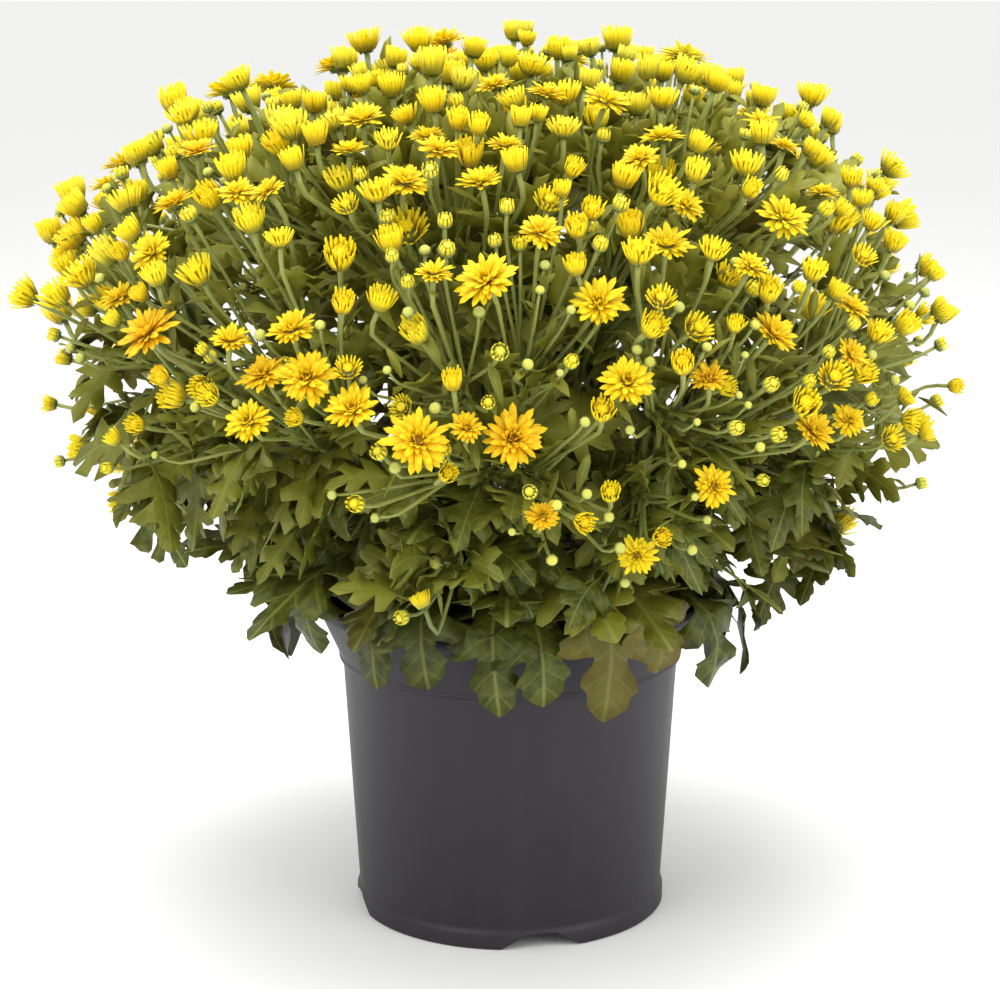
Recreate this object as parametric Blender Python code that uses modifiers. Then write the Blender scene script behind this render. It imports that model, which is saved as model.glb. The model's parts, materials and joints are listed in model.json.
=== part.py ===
"""A flowering chrysanthemum in its nursery pot: pot, potting mix, leafy stems with heads, and open blooms.

Sizes are in millimetres from the pot's axis and the surface that the pot stands on. +Z is up and -Y is the
front. The last step moves everything sideways, so that the middle of the whole part is over the origin.
"""

import math

import bmesh
import bpy
import numpy as np

MM = 0.001
SEED = 11

# Pot
POT_HEIGHT = 188.0
RIM_RADIUS = 115.5
LIP_BOTTOM = 180.5
BAND_TOP_RADIUS = 112.0
RIDGE_HEIGHT = 151.0
RIDGE_RADIUS = 99.8
BODY_TOP_RADIUS = 98.3
BODY_BOTTOM_RADIUS = 89.9
GROOVE_HEIGHT = 11.5
FOOT_RADIUS = 91.4
FOOT_WALL = 3.2
WALL = 2.0
FLOOR_BOTTOM = 11.0
FLOOR_TOP = 13.5
POT_SIDES = 24
SOIL_SIDES = 16
NOTCHES = 4
FIRST_NOTCH_ANGLE = math.radians(-78.5)
NOTCH_BOTTOM_WIDTH = 44.0
NOTCH_TOP_WIDTH = 16.0
NOTCH_HEIGHT = 9.0
NOTCH_DEPTH = 24.0
DRAIN_RADIUS = 6.0
DRAIN_CIRCLE = 62.0
DRAIN_SIDES = 6
PAST_THE_FACE = 2.0

# Potting mix
SOIL_TOP = 170.0
SOIL_MOUND = 5.0
SEAT_GAP = 0.3
MIX_SHRINK = 0.6
HOLE_RADIUS = 4.6
HOLE_DEPTH = 22.0
HOLE_SIDES = 4

# Crown: the rounded surface that the flower heads lie on
CROWN_CENTRE = np.array([-8.0, 0.0, 328.0])
CROWN_REACH_SIDE = 258.0
CROWN_REACH_DEPTH = 248.0
CROWN_RISE = 176.0
CROWN_DROP = 150.0
CROWN_SQUARENESS = 2.4

# The viewpoint that the heads' places were read from, and its picture's scale
EYE = np.array([0.0, -1406.0, 544.0])
EYE_PITCH = math.radians(12.03)
FOCAL_PIXELS = 2471.0
CENTRE_PIXEL = (510.0, 494.5)

# Heads seen in the photograph, as the pixel across, the pixel down and the width in pixels of each
OPEN_SEEN = (
    (98, 180, 38), (205, 156, 38), (175, 200, 42), (245, 194, 38), (272, 195, 36), (155, 258, 46),
    (360, 120, 46), (345, 142, 36), (425, 128, 36), (500, 90, 36), (505, 141, 36), (435, 152, 40),
    (405, 172, 50), (481, 177, 46), (540, 96, 38), (605, 103, 48), (665, 132, 42), (640, 157, 38),
    (690, 196, 38), (545, 232, 44), (670, 241, 52), (770, 113, 34), (790, 142, 32), (830, 187, 32),
    (795, 212, 54), (750, 268, 38), (483, 281, 60), (438, 275, 38), (600, 299, 54), (153, 332, 60),
    (110, 294, 40), (235, 343, 40), (290, 332, 46), (305, 372, 57), (252, 370, 46), (255, 418, 46),
    (355, 407, 52), (420, 438, 60), (512, 440, 60), (622, 388, 52), (715, 378, 38), (780, 325, 50),
    (860, 304, 36), (855, 358, 36), (822, 432, 46), (718, 488, 40), (637, 557, 38), (543, 517, 33),
    (469, 428, 34), (850, 420, 34),
)
HALF_SEEN = (
    (48, 233, 28), (75, 196, 30), (148, 160, 25), (185, 109, 26), (200, 137, 30), (246, 90, 26),
    (240, 150, 26), (170, 172, 25), (233, 171, 30), (85, 210, 30), (72, 241, 30), (130, 206, 28),
    (198, 195, 30), (275, 117, 28), (100, 253, 32), (65, 263, 26), (80, 276, 30), (160, 274, 25),
    (308, 97, 26), (292, 130, 30), (394, 56, 25), (433, 72, 33), (474, 57, 25), (527, 42, 18),
    (330, 115, 24), (320, 140, 28), (435, 109, 28), (460, 126, 24), (480, 133, 24), (520, 96, 25),
    (518, 128, 24), (298, 166, 26), (380, 198, 26), (285, 243, 22), (390, 242, 29), (590, 50, 22),
    (650, 66, 28), (685, 76, 30), (715, 86, 25), (767, 95, 26), (590, 78, 25), (560, 92, 28),
    (565, 125, 25), (698, 145, 25), (630, 172, 28), (515, 165, 28), (595, 207, 24), (655, 200, 30),
    (692, 181, 26), (750, 165, 28), (755, 142, 28), (572, 230, 26), (637, 257, 28), (708, 255, 24),
    (578, 268, 24), (845, 120, 20), (855, 178, 22), (868, 225, 22), (815, 273, 25), (773, 298, 28),
    (845, 293, 22), (922, 277, 18), (880, 335, 24), (865, 371, 26), (828, 378, 25), (912, 400, 18),
    (805, 406, 30), (65, 298, 30), (168, 398, 30), (195, 388, 24), (112, 440, 18), (343, 305, 26),
    (377, 301, 27), (452, 383, 24), (445, 478, 22), (655, 303, 22), (650, 328, 28), (678, 365, 27),
    (609, 407, 26), (612, 497, 22), (581, 520, 22), (422, 603, 20), (940, 385, 17), (930, 435, 18),
)

# Tips of the leaves that hang over the front of the pot, as the pixel across and the pixel down of each
RIM_LEAVES_SEEN = (
    (322, 655), (375, 692), (428, 688), (483, 727), (545, 705), (605, 722), (655, 672), (702, 688),
    (752, 632),
)

# Heads and hanging leaves on the sides that the photograph doesn't show
HIDDEN_RIM_LEAVES = 12
HIDDEN_HEADS = 58
HIDDEN_OPEN_SHARE = 0.3
TRIES_TO_A_HIDDEN_HEAD = 2.6
FRONTMOST_HIDDEN = -20.0
LOWEST_HIDDEN = -0.42
OPEN_RADII = (11.5, 15.5)
HALF_RADII = (6.0, 9.5)

# Stems
OUTER_STEMS = 11
INNER_STEMS = 6
OUTER_STEM_CIRCLE = 56.0
INNER_STEM_CIRCLE = 27.0
OUTER_RISE = math.radians(14)
INNER_RISE = math.radians(56)
STEM_RADIUS = 2.8
SIDE_STEM_RADIUS = 1.7
STALK_RADIUS = 1.1
NECK_RADIUS = 1.9
STEM_LEAVES = (0.1, 0.5)
SIDE_LEAVES = (0.45,)
SKIRT_LEAVES = 28
HIGH_SKIRT_EVERY = 4
HIGH_SKIRT_LIFT = 44.0
SKIRT_REACH = (185, 222)
SKIRT_HEIGHT = (196, 222)
FORK_SHARE = 0.5
HUB_SHARE = 0.5
HEADS_TO_A_SIDE_STEM = 4
STALK_STEP = 6.0
SPROUT_REACH = 3.4
SPROUT_RADIUS = 0.95
ROOT_FREE = 7.0
BUDS_TO_A_STEM = 1
BLOOM_NODES = 40
BLOOM_PETALS = 6
BLOOM_FOOT_RADIUS = 2.2
CUP_PETALS = {"open": 5, "half": 4, "bud": 3}
SEAT_HEIGHT = 2.0
SEAT_RADIUS = 3.2

# Gaps kept between the pieces of different nodes, and how far off a piece can matter
GAP = 0.5
NEIGHBOUR_REACH = 22.0

# A direction that no stalk grows along, which turns round stalks and heads are measured from
ODD_WAY = np.array([0.31, 0.2, 0.93])

# Points this close together are one point, and an edge sharper than this angle stays an edge
TOUCHING = 0.01
SHARP_ANGLE = math.radians(40)


def unit(vector):
    return vector / np.linalg.norm(vector)


def crown_level(points):
    """Under 1 inside the crown, 1 on it, and over 1 outside."""
    away = np.asarray(points) - CROWN_CENTRE
    out = np.hypot(away[..., 0] / CROWN_REACH_SIDE, away[..., 1] / CROWN_REACH_DEPTH)
    rise = np.where(away[..., 2] > 0, away[..., 2] / CROWN_RISE, -away[..., 2] / CROWN_DROP)
    return (out**CROWN_SQUARENESS + rise**CROWN_SQUARENESS) ** (1 / CROWN_SQUARENESS)


def on_crown(direction, level=1.0):
    """The crown's point in this direction from its centre."""
    return CROWN_CENTRE + direction * level / crown_level(CROWN_CENTRE + direction)


def outward(point):
    """The direction that the crown faces at a point."""
    return unit(np.array([crown_level(point + step) - crown_level(point - step) for step in np.eye(3)]))


def seen_on_crown(across, down):
    """The crown's first point along the line of sight through a pixel, and its distance ahead of the eye."""
    cos, sin = math.cos(EYE_PITCH), math.sin(EYE_PITCH)
    side, up = across - CENTRE_PIXEL[0], CENTRE_PIXEL[1] - down
    sight = np.array([side, cos * FOCAL_PIXELS + sin * up, cos * up - sin * FOCAL_PIXELS]) / FOCAL_PIXELS
    ahead = np.arange(1050.0, 1750.0, 1.0)
    points = EYE + ahead[:, None] * sight
    levels = crown_level(points)
    inside = np.nonzero(levels < 1)[0]
    first = inside[0] if len(inside) else levels.argmin()
    return points[first], ahead[first]


class Head:
    """A flower head: the middle of it, the way it faces, and its radius. Its kind is open, half or bud."""

    def __init__(self, middle, radius, kind, draw):
        self.middle = middle
        self.radius = radius
        self.kind = kind
        self.level = draw.uniform(0.97, 1.03)
        self.tilt = draw.normal(0, 0.16, 3)
        self.turn = draw.uniform(0, 2 * math.pi)
        self.spray = None
        self.node = None

    @property
    def height(self):
        return self.radius * {"open": 0.8, "half": 1.3, "bud": 1.7}[self.kind]

    def face(self):
        """Heads on top face up, and those on the sides face out and up."""
        self.axis = unit(0.55 * outward(self.middle) + np.array([0, 0, 0.5]) + self.tilt)
        self.base = self.middle - self.axis * self.height / 2

    def towards(self, angle):
        """The direction across the head at this angle round its axis, from the head's own turn."""
        across = unit(np.cross(self.axis, ODD_WAY))
        other = np.cross(self.axis, across)
        return across * math.cos(angle + self.turn) + other * math.sin(angle + self.turn)


def seen_heads(draw):
    heads = []
    for kind, seen in (("open", OPEN_SEEN), ("half", HALF_SEEN)):
        for across, down, width in seen:
            point, ahead = seen_on_crown(across, down)
            heads.append(Head(point, width / 2 * ahead / FOCAL_PIXELS, kind, draw))
    return heads


def hidden_heads(draw):
    """Heads in a golden-angle spiral over the part of the crown that faces away from the eye."""
    heads = []
    golden = math.pi * (3 - math.sqrt(5))
    tries = int(HIDDEN_HEADS * TRIES_TO_A_HIDDEN_HEAD)
    for k in range(tries):
        rise = LOWEST_HIDDEN + (1 - LOWEST_HIDDEN) * (k + 0.5) / tries
        out = math.sqrt(1 - rise * rise)
        angle = k * golden
        point = on_crown(np.array([out * math.cos(angle), out * math.sin(angle), rise]))
        kind = "open" if draw.random() < HIDDEN_OPEN_SHARE else "half"
        radius = draw.uniform(*(OPEN_RADII if kind == "open" else HALF_RADII))
        if outward(point) @ unit(EYE - point) < 0.02 and point[1] > FRONTMOST_HIDDEN:
            heads.append(Head(point + draw.normal(0, 7, 3), radius, kind, draw))
    return heads


def spread(heads, rounds=60):
    """Pushes heads apart along the crown until none touches another."""
    middles = np.array([head.middle for head in heads])
    radii = np.array([head.radius for head in heads])
    levels = np.array([head.level for head in heads])
    least = radii[:, None] + radii[None] + 2 * GAP
    for _ in range(rounds):
        apart = middles[:, None] - middles[None]
        distance = np.linalg.norm(apart, axis=2) + np.eye(len(heads)) * 1e6
        lack = np.clip(least - distance, 0, None)
        push = (apart / distance[..., None] * lack[..., None]).sum(axis=1)
        middles = middles + push * 0.45
        scale = levels / crown_level(middles)
        middles = CROWN_CENTRE + (middles - CROWN_CENTRE) * (1 + (scale - 1) * 0.5)[:, None]
    for head, middle in zip(heads, middles):
        head.middle = middle
        head.face()


class Space:
    """What is taken: balls along every piece, with the number of the node that each belongs to."""

    def __init__(self):
        self.balls = np.empty((5, 0))

    def take(self, centres, radius, node):
        rows = [centres.T, np.full((1, len(centres)), radius), np.full((1, len(centres)), node)]
        self.balls = np.hstack([self.balls, np.vstack(rows)])

    def clear(self, centres, radius, own, gap=GAP):
        """Whether balls of this radius stay off every node that isn't in own, and off the pot."""
        if not clear_of_pot(centres, radius):
            return False
        x, y, z, radii, nodes = self.balls
        low, high = centres.min(axis=0) - NEIGHBOUR_REACH, centres.max(axis=0) + NEIGHBOUR_REACH
        near = (x > low[0]) & (x < high[0]) & (y > low[1]) & (y < high[1]) & (z > low[2]) & (z < high[2])
        for node in own:
            near &= nodes != node
        near = near.nonzero()[0]
        apart = sum((line[near] - centres[:, k : k + 1]) ** 2 for k, line in enumerate((x, y, z)))
        return bool((apart > (radius + radii[near] + gap) ** 2).all())


def clear_of_pot(centres, radius):
    away = np.hypot(centres[:, 0], centres[:, 1])
    outside = away > RIM_RADIUS + radius + 1
    above = centres[:, 2] > POT_HEIGHT + radius + 1
    inside = (away < BAND_TOP_RADIUS - 6 - radius) & (centres[:, 2] > SOIL_TOP - HOLE_DEPTH - 1)
    return bool((outside | above | inside).all())


def beads(points, spacing=2.4):
    """Points evenly along a line of points."""
    line = [points[0][None]]
    for start, end in zip(points, points[1:]):
        count = max(1, math.ceil(np.linalg.norm(end - start) / spacing))
        line.append(start + (end - start) * (np.arange(1, count + 1) / count)[:, None])
    return np.vstack(line)


def spray_directions():
    """The way that each leafy stem grows from the crown's centre: one up, then a high ring and a low one."""
    directions = [np.array([0.0, 0.0, 1.0])]
    for count, rise in ((INNER_STEMS, INNER_RISE), (OUTER_STEMS, OUTER_RISE)):
        for k in range(count):
            angle = 2 * math.pi * (k + 0.25) / count
            flat = math.cos(rise)
            directions.append(np.array([flat * math.cos(angle), flat * math.sin(angle), math.sin(rise)]))
    return directions


class SideStem:
    """A side stem from a main stem's side to its end, with the heads that grow on it, and the last one."""

    def __init__(self, start, end, heads):
        self.start, self.end = start, end
        self.way = unit(end - start)
        self.across = unit(np.cross(self.way, ODD_WAY))
        self.heads = sorted(heads, key=lambda head: -(head.base @ self.way))
        self.line = [start, end]

    def sprout(self, back, towards):
        """A stalk's first points, this far before the end: in the stem, then out from a face's middle."""
        root = self.end - self.way * min(back, 0.7 * np.linalg.norm(self.end - self.start))
        other = np.cross(self.way, self.across)
        faces = [
            self.across * math.cos(angle) + other * math.sin(angle)
            for angle in (math.pi / 3, math.pi, -math.pi / 3)
        ]
        out = max(faces, key=lambda face: face @ (towards - root))
        return [root, root + out * SPROUT_REACH + self.way * SPROUT_REACH * 0.5]


class Spray:
    """One leafy stem, from its hole in the potting mix to its heads."""

    def __init__(self, number, direction):
        self.number = number
        self.direction = direction
        circle = 0.0 if number == 0 else INNER_STEM_CIRCLE if number <= INNER_STEMS else OUTER_STEM_CIRCLE
        flat = direction * [1, 1, 0]
        spot = unit(flat) * circle if circle else np.zeros(3)
        self.foot = spot + [0, 0, SOIL_TOP - HOLE_DEPTH + 2 * SEAT_GAP]
        self.collar = spot + [0, 0, SOIL_TOP + 14]
        reach = on_crown(direction) - self.collar
        self.fork = self.collar + FORK_SHARE * reach
        self.bend = self.collar + 0.5 * (self.fork - self.collar) + [0, 0, 0.1 * np.linalg.norm(reach)]
        self.heads = []
        self.side_stems = []
        self.stalks = []
        self.leaves = []

    @property
    def stem(self):
        return [self.foot, self.collar, self.bend, self.fork]

    def branch(self):
        """Groups the heads by nearness, and gives each group a side stem. The furthest start highest."""
        bases = np.array([head.base for head in self.heads])
        count = max(1, round(len(bases) / HEADS_TO_A_SIDE_STEM))
        centres = bases[np.linspace(0, len(bases) - 1, count).astype(int)]
        for _ in range(12):
            nearest = np.linalg.norm(bases[:, None] - centres[None], axis=2).argmin(axis=1)
            centres = np.array([bases[nearest == k].mean(axis=0) for k in sorted(set(nearest))])
        nearest = np.linalg.norm(bases[:, None] - centres[None], axis=2).argmin(axis=1)
        order = np.argsort(centres @ self.direction)
        for place, k in enumerate(order):
            share = 1 - 0.62 * (len(order) - 1 - place) / max(len(order) - 1, 1)
            start = self.bend + (self.fork - self.bend) * share
            end = start + (centres[k] - start) * HUB_SHARE
            heads = [head for head, group in zip(self.heads, nearest) if group == k]
            self.side_stems.append(SideStem(start, end, heads))


def share_out(heads, sprays):
    """Each head grows on the stem that points its way."""
    ways = np.array([spray.direction for spray in sprays])
    for head in heads:
        away = (head.middle - CROWN_CENTRE) / [CROWN_REACH_SIDE, CROWN_REACH_DEPTH, CROWN_RISE]
        head.spray = int((ways @ unit(away)).argmax())
        sprays[head.spray].heads.append(head)
    for spray in sprays:
        spray.branch()


def route(space, start, end, radius, own, spray=None):
    """A straight way from start to end, or the first bent one that keeps clear, or None.

    With a spray's number, the way also stays off that spray's other pieces, but for its first millimetres.
    """
    way = unit(end - start)
    across = unit(np.cross(way, ODD_WAY))
    other = np.cross(way, across)
    length = np.linalg.norm(end - start)
    for share in (0.0, 0.07, 0.13, 0.2, 0.28):
        for k in range(8 if share else 1):
            angle = k * math.pi / 4
            offset = (across * math.cos(angle) + other * math.sin(angle)) * share * length
            points = [start, end] if share == 0 else [start, (start + end) / 2 + offset, end]
            balls = beads(points)
            if space.clear(balls, radius, own):
                further = balls[np.linalg.norm(balls - start, axis=1) > ROOT_FREE]
                others = [node for node in own if node != spray]
                if spray is None or not len(further) or space.clear(further, radius, others, -1.2):
                    return points
    return None


def head_balls(head):
    """Balls that hold a head: one for a cup or a bud, and a ring with a middle for an open bloom."""
    if head.kind != "open":
        return np.array([head.middle]), head.radius * 1.02
    ring = [head.middle + head.towards(k * math.pi / 3) * head.radius * 0.5 for k in range(6)]
    return np.array([head.middle] + ring), head.radius * 0.62


def grow_stalk(space, spray, side, place, head, own):
    """A stalk from this side stem, or else from another of the spray's, or None."""
    roots = [(side, STALK_STEP * (place + more)) for more in (0, 1, -1, 2, 3)]
    roots += [(other, STALK_STEP * 0.6) for other in spray.side_stems if other is not side]
    for apart in (spray.number, None):
        for stem, back in roots:
            root, first = stem.sprout(back, head.base)
            points = route(space, first, head.base, NECK_RADIUS, own, apart)
            if points:
                return [root] + points
    return None


def grow_stalks(space, sprays):
    """Side stems, and stalks to the heads. It returns the heads that found no clear way."""
    lost = []
    for spray in sprays:
        space.take(beads(spray.stem), STEM_RADIUS * 1.1, spray.number)
    for spray in sprays:
        for side in spray.side_stems:
            side.line = route(space, side.start, side.end, SIDE_STEM_RADIUS, [spray.number]) or side.line
            space.take(beads(side.line), SIDE_STEM_RADIUS * 1.1, spray.number)
    for spray in sprays:
        for side in spray.side_stems:
            side.last = None
            for place, head in enumerate(side.heads):
                own = [spray.number, head.node]
                points = None
                if side.last is None:
                    points = route(space, side.end, head.base, NECK_RADIUS, own)
                    if points:
                        side.last = (head, points)
                if points is None:
                    points = grow_stalk(space, spray, side, place, head, own)
                    if points:
                        spray.stalks.append((head, points))
                if points is None:
                    lost.append(head)
                    continue
                space.take(beads(points), NECK_RADIUS * 1.02, spray.number)
    return lost


# Leaf outlines: half of each, as the place along the leaf's length and the half width in lengths
RIM_LEAF = ((0, 0), (0.48, 0.015), (0.64, 0.17), (0.70, 0.075), (0.84, 0.145), (0.87, 0.06))
LOBED_LEAF = ((0, 0), (0.36, 0.29), (0.47, 0.13), (0.68, 0.22))
SKIRT_LEAF = ((0, 0), (0.40, 0.02), (0.66, 0.23), (0.77, 0.10))
SMALL_LEAF = ((0, 0), (0.48, 0.30), (0.62, 0.11))
BLADE = 0.75
LEAF_BALL = 2.9
LEAF_LIFT = 90.0


class Leaf:
    """A blade along a curve from start, bent towards turn, to its tip, with its upper face towards up."""

    def __init__(self, outline, start, turn, tip, up, fold):
        self.outline = outline
        self.start, self.turn, self.tip = start, turn, tip
        self.side = unit(np.cross(up, tip - start))
        self.fold = fold
        # A curve is about as long as the mean of its chord and the way round by its turn.
        chord = np.linalg.norm(tip - start)
        round_about = np.linalg.norm(turn - start) + np.linalg.norm(tip - turn)
        self.length = (chord + round_about) / 2

    def at(self, along, beside):
        """The blade's points this far along the rib, in lengths, and this far to its side."""
        along, beside = np.asarray(along)[..., None], np.asarray(beside)[..., None]
        rest = 1 - along
        rib = rest * rest * self.start + 2 * rest * along * self.turn + along * along * self.tip
        way = rest * (self.turn - self.start) + along * (self.tip - self.turn)
        lift = np.cross(way / np.linalg.norm(way, axis=-1, keepdims=True), self.side)
        return rib + (self.side * beside + lift * abs(beside) * self.fold) * self.length

    def places(self):
        """The outline's corners, along and beside the rib, from the base round by the tip."""
        left = [(x, -y) for x, y in reversed(self.outline) if y]
        return list(self.outline) + [(1.0, 0.0)] + left

    def balls(self, spacing=4.0):
        """Points spread over the blade, which is flat from each corner of its outline to the next."""
        corners = list(self.outline) + [(1.0, 0.0)]
        spots = []
        for (low, first), (high, last) in zip(corners, corners[1:]):
            rows = math.ceil((high - low) * self.length / spacing)
            for share in np.arange(rows) / rows:
                half = first + (last - first) * share
                across = math.ceil(half * self.length / spacing)
                spots += [(low, high, share, half * j / max(across, 1)) for j in range(-across, across + 1)]
        low, high, share, beside = np.array(spots + [(0.0, 1.0, 1.0, 0.0)]).T
        return self.at(low, beside) * (1 - share[:, None]) + self.at(high, beside) * share[:, None]


def add_leaf(space, spray, leaf, free, apart=False):
    """Adds a leaf to its stem if the blade keeps clear of other nodes, and says whether it did.

    The first stretch, as long as free, isn't looked at. Where apart is set, the rest also keeps clear of
    the leaf's own node.
    """
    balls = leaf.balls()
    away = np.linalg.norm(balls - leaf.start, axis=1)
    if not space.clear(balls[away > free], LEAF_BALL, [spray.number]):
        return False
    if apart and not space.clear(balls[away > ROOT_FREE], LEAF_BALL, [], -2.0):
        return False
    spray.leaves.append(leaf)
    space.take(balls[away > free], LEAF_BALL, spray.number)
    return True


def try_leaf(space, spray, outline, start, way, length, droop, draw):
    """Adds a leaf at start along way, at the first of several turns that keeps clear."""
    for attempt in range(14):
        turned = unit(way + draw.normal(0, 0.08 + 0.05 * attempt, 3))
        size = length * (1 - 0.025 * attempt)
        turn = start + turned * size * 0.5 + [0, 0, size * 0.08]
        tip = start + turned * size * 0.92 - np.array([0, 0, size * droop])
        up = unit(unit(start - CROWN_CENTRE + [0, 0, LEAF_LIFT]) + draw.normal(0, 0.2, 3))
        leaf = Leaf(outline, start, turn, tip, up, draw.uniform(0.05, 0.35))
        if add_leaf(space, spray, leaf, 4, apart=True):
            return


def rim_leaf(space, sprays, tip, draw):
    """A large leaf on the nearest outer stem, that reaches over the pot's lip and hangs down to its tip."""
    out = unit(tip * [1, 1, 0])
    spray = max(sprays[INNER_STEMS + 1 :], key=lambda spray: spray.direction @ out)
    for attempt in range(16):
        height = draw.uniform(192, 214)
        share = (height - spray.collar[2]) / (spray.bend[2] - spray.collar[2])
        start = spray.collar + (spray.bend - spray.collar) * share
        moved = tip + draw.normal(0, 1.5 + attempt, 3) * [1, 1, 0.6]
        far = max(np.hypot(*moved[:2]), RIM_RADIUS + 8)
        turn = out * (far + draw.uniform(10, 34)) + [0, 0, height + draw.uniform(4, 18)]
        moved = unit(moved * [1, 1, 0]) * far + [0, 0, moved[2]]
        leaf = Leaf(RIM_LEAF, start, turn, moved, unit(out + [0, 0, 0.3]), draw.uniform(0.0, 0.25))
        if add_leaf(space, spray, leaf, 5):
            return


def skirt_leaf(space, sprays, angle, lift, draw):
    """A long-stalked leaf on the nearest outer stem, that spreads out under the crown's lower edge."""
    out = np.array([math.cos(angle), math.sin(angle), 0])
    spray = max(sprays[INNER_STEMS + 1 :], key=lambda spray: spray.direction @ out)
    for attempt in range(16):
        start = spray.collar + (spray.bend - spray.collar) * draw.uniform(0.25, 0.8)
        far = draw.uniform(*SKIRT_REACH) - 2 * attempt
        aside = np.array([-out[1], out[0], 0]) * draw.normal(0, 3 + attempt)
        tip = out * far + aside + [0, 0, draw.uniform(*SKIRT_HEIGHT) + lift]
        turn = out * far * 0.62 + aside * 0.5 + [0, 0, start[2] + draw.uniform(8, 26) + lift * 0.6]
        leaf = Leaf(SKIRT_LEAF, start, turn, tip, unit(out * 0.4 + draw.normal(0, 0.2, 3) + [0, 0, 1]), 0.15)
        if add_leaf(space, spray, leaf, 5):
            return


def rim_leaf_tips(draw):
    """Where the hanging leaves end: those in sight in front of the pot, then the rest by a rule."""
    cos, sin = math.cos(EYE_PITCH), math.sin(EYE_PITCH)
    tips = []
    for across, down in RIM_LEAVES_SEEN:
        side, up = across - CENTRE_PIXEL[0], CENTRE_PIXEL[1] - down
        sight = np.array([side, cos * FOCAL_PIXELS + sin * up, cos * up - sin * FOCAL_PIXELS]) / FOCAL_PIXELS
        points = EYE + np.arange(1150.0, 1450.0)[:, None] * sight
        away = np.hypot(points[:, 0], points[:, 1])
        near = np.nonzero(away < RIM_RADIUS + 12)[0]
        tips.append(points[near[0] if len(near) else away.argmin()])
    for k in range(HIDDEN_RIM_LEAVES):
        angle = math.pi * (-0.02 + 1.04 * (k + 0.5) / HIDDEN_RIM_LEAVES)
        far = RIM_RADIUS + (12 if k % 2 else 22)
        tips.append(np.array([far * math.cos(angle), far * math.sin(angle), draw.uniform(125, 155)]))
    return tips


def grow_leaves(space, sprays, draw):
    """Hanging leaves first, then those under the crown's edge, along the stems and along the side stems."""
    for tip in rim_leaf_tips(draw):
        rim_leaf(space, sprays, tip, draw)
    for k in range(SKIRT_LEAVES):
        lift = HIGH_SKIRT_LIFT if k % HIGH_SKIRT_EVERY == 0 else 0
        skirt_leaf(space, sprays, 2 * math.pi * k / SKIRT_LEAVES, lift, draw)
    for spray in sprays:
        out = unit(spray.direction * [1, 1, 0]) if spray.number else np.array([0.7, -0.7, 0])
        beside = np.array([-out[1], out[0], 0])
        for place, share in enumerate(STEM_LEAVES if spray.number > INNER_STEMS else STEM_LEAVES[1:]):
            start = spray.bend + (spray.fork - spray.bend) * share
            way = unit(out * 0.8 + beside * (0.9 if place % 2 else -0.9) + [0, 0, draw.uniform(-0.4, 0.2)])
            outline = LOBED_LEAF if place == 0 else SMALL_LEAF
            try_leaf(space, spray, outline, start, way, draw.uniform(46, 62), 0.25, draw)
        for k, side in enumerate(spray.side_stems):
            for place, share in enumerate(SIDE_LEAVES):
                hand = 1 if (k + place) % 2 else -1
                way = unit(beside * hand * 0.8 + out * 0.3 + [0, 0, draw.uniform(-0.3, 0.2)])
                length = np.linalg.norm(side.end - side.start)
                start, first = side.sprout(length * (1 - share), side.end + way * 90)
                size = draw.uniform(44, 60)
                try_leaf(space, spray, SMALL_LEAF, start, unit(first - start), size, 0.15, draw)


def grow_buds(space, sprays, draw):
    for spray in sprays:
        for k in range(BUDS_TO_A_STEM):
            side = spray.side_stems[k % len(spray.side_stems)]
            for _ in range(10):
                way = unit(side.way + draw.normal(0, 0.45, 3))
                back = draw.uniform(8, 30)
                root, start = side.sprout(back, side.end + way * 40)
                bud = Head(start + way * draw.uniform(26, 44), draw.uniform(3.4, 4.6), "bud", draw)
                bud.axis = unit(way + [0, 0, 0.5])
                bud.base = bud.middle - bud.axis * bud.height / 2
                bud.node = spray.number
                points = route(space, start, bud.base, STALK_RADIUS * 1.3, [spray.number], spray.number)
                if points and space.clear(bud.middle[None], bud.radius * 1.5, []):
                    spray.stalks.append((bud, [root] + points))
                    space.take(bud.middle[None], bud.radius * 1.4, spray.number)
                    space.take(beads(points), STALK_RADIUS * 1.4, spray.number)
                    break


def grow():
    """The whole plant: its sprays, with the open blooms that are nodes of their own."""
    draw = np.random.default_rng(SEED)
    heads = seen_heads(draw) + hidden_heads(draw)
    spread(heads)
    sprays = [Spray(number, direction) for number, direction in enumerate(spray_directions())]
    share_out(heads, sprays)
    largest = sorted((head for head in heads if head.kind == "open"), key=lambda head: -head.radius)
    for number, head in enumerate(largest[:BLOOM_NODES]):
        head.node = len(sprays) + number
    space = Space()
    for head in heads:
        if head.node is None:
            head.node = head.spray
        space.take(*head_balls(head), head.node)
    lost = grow_stalks(space, sprays)
    grow_buds(space, sprays, draw)
    grow_leaves(space, sprays, draw)
    blooms = [head for head in largest[:BLOOM_NODES] if head not in lost]
    return sprays, blooms


def material(name, colour, roughness, metallic=0.0):
    """A plain finish. The colour is an sRGB hex value."""
    made = bpy.data.materials.new(name)
    made.use_nodes = True
    shader = made.node_tree.nodes["Principled BSDF"]
    parts = [int(colour[k : k + 2], 16) / 255 for k in (1, 3, 5)]
    linear = [c / 12.92 if c <= 0.04045 else ((c + 0.055) / 1.055) ** 2.4 for c in parts]
    shader.inputs["Base Color"].default_value = (*linear, 1)
    shader.inputs["Roughness"].default_value = roughness
    shader.inputs["Metallic"].default_value = metallic
    made.diffuse_color = (*linear, 1)
    return made


def add_object(name, mesh, collection):
    made = bpy.data.objects.new(name, mesh)
    collection.objects.link(made)
    return made


def mesh_from(name, bm):
    bmesh.ops.recalc_face_normals(bm, faces=bm.faces)
    mesh = bpy.data.meshes.new(name)
    bm.to_mesh(mesh)
    bm.free()
    return mesh


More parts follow.
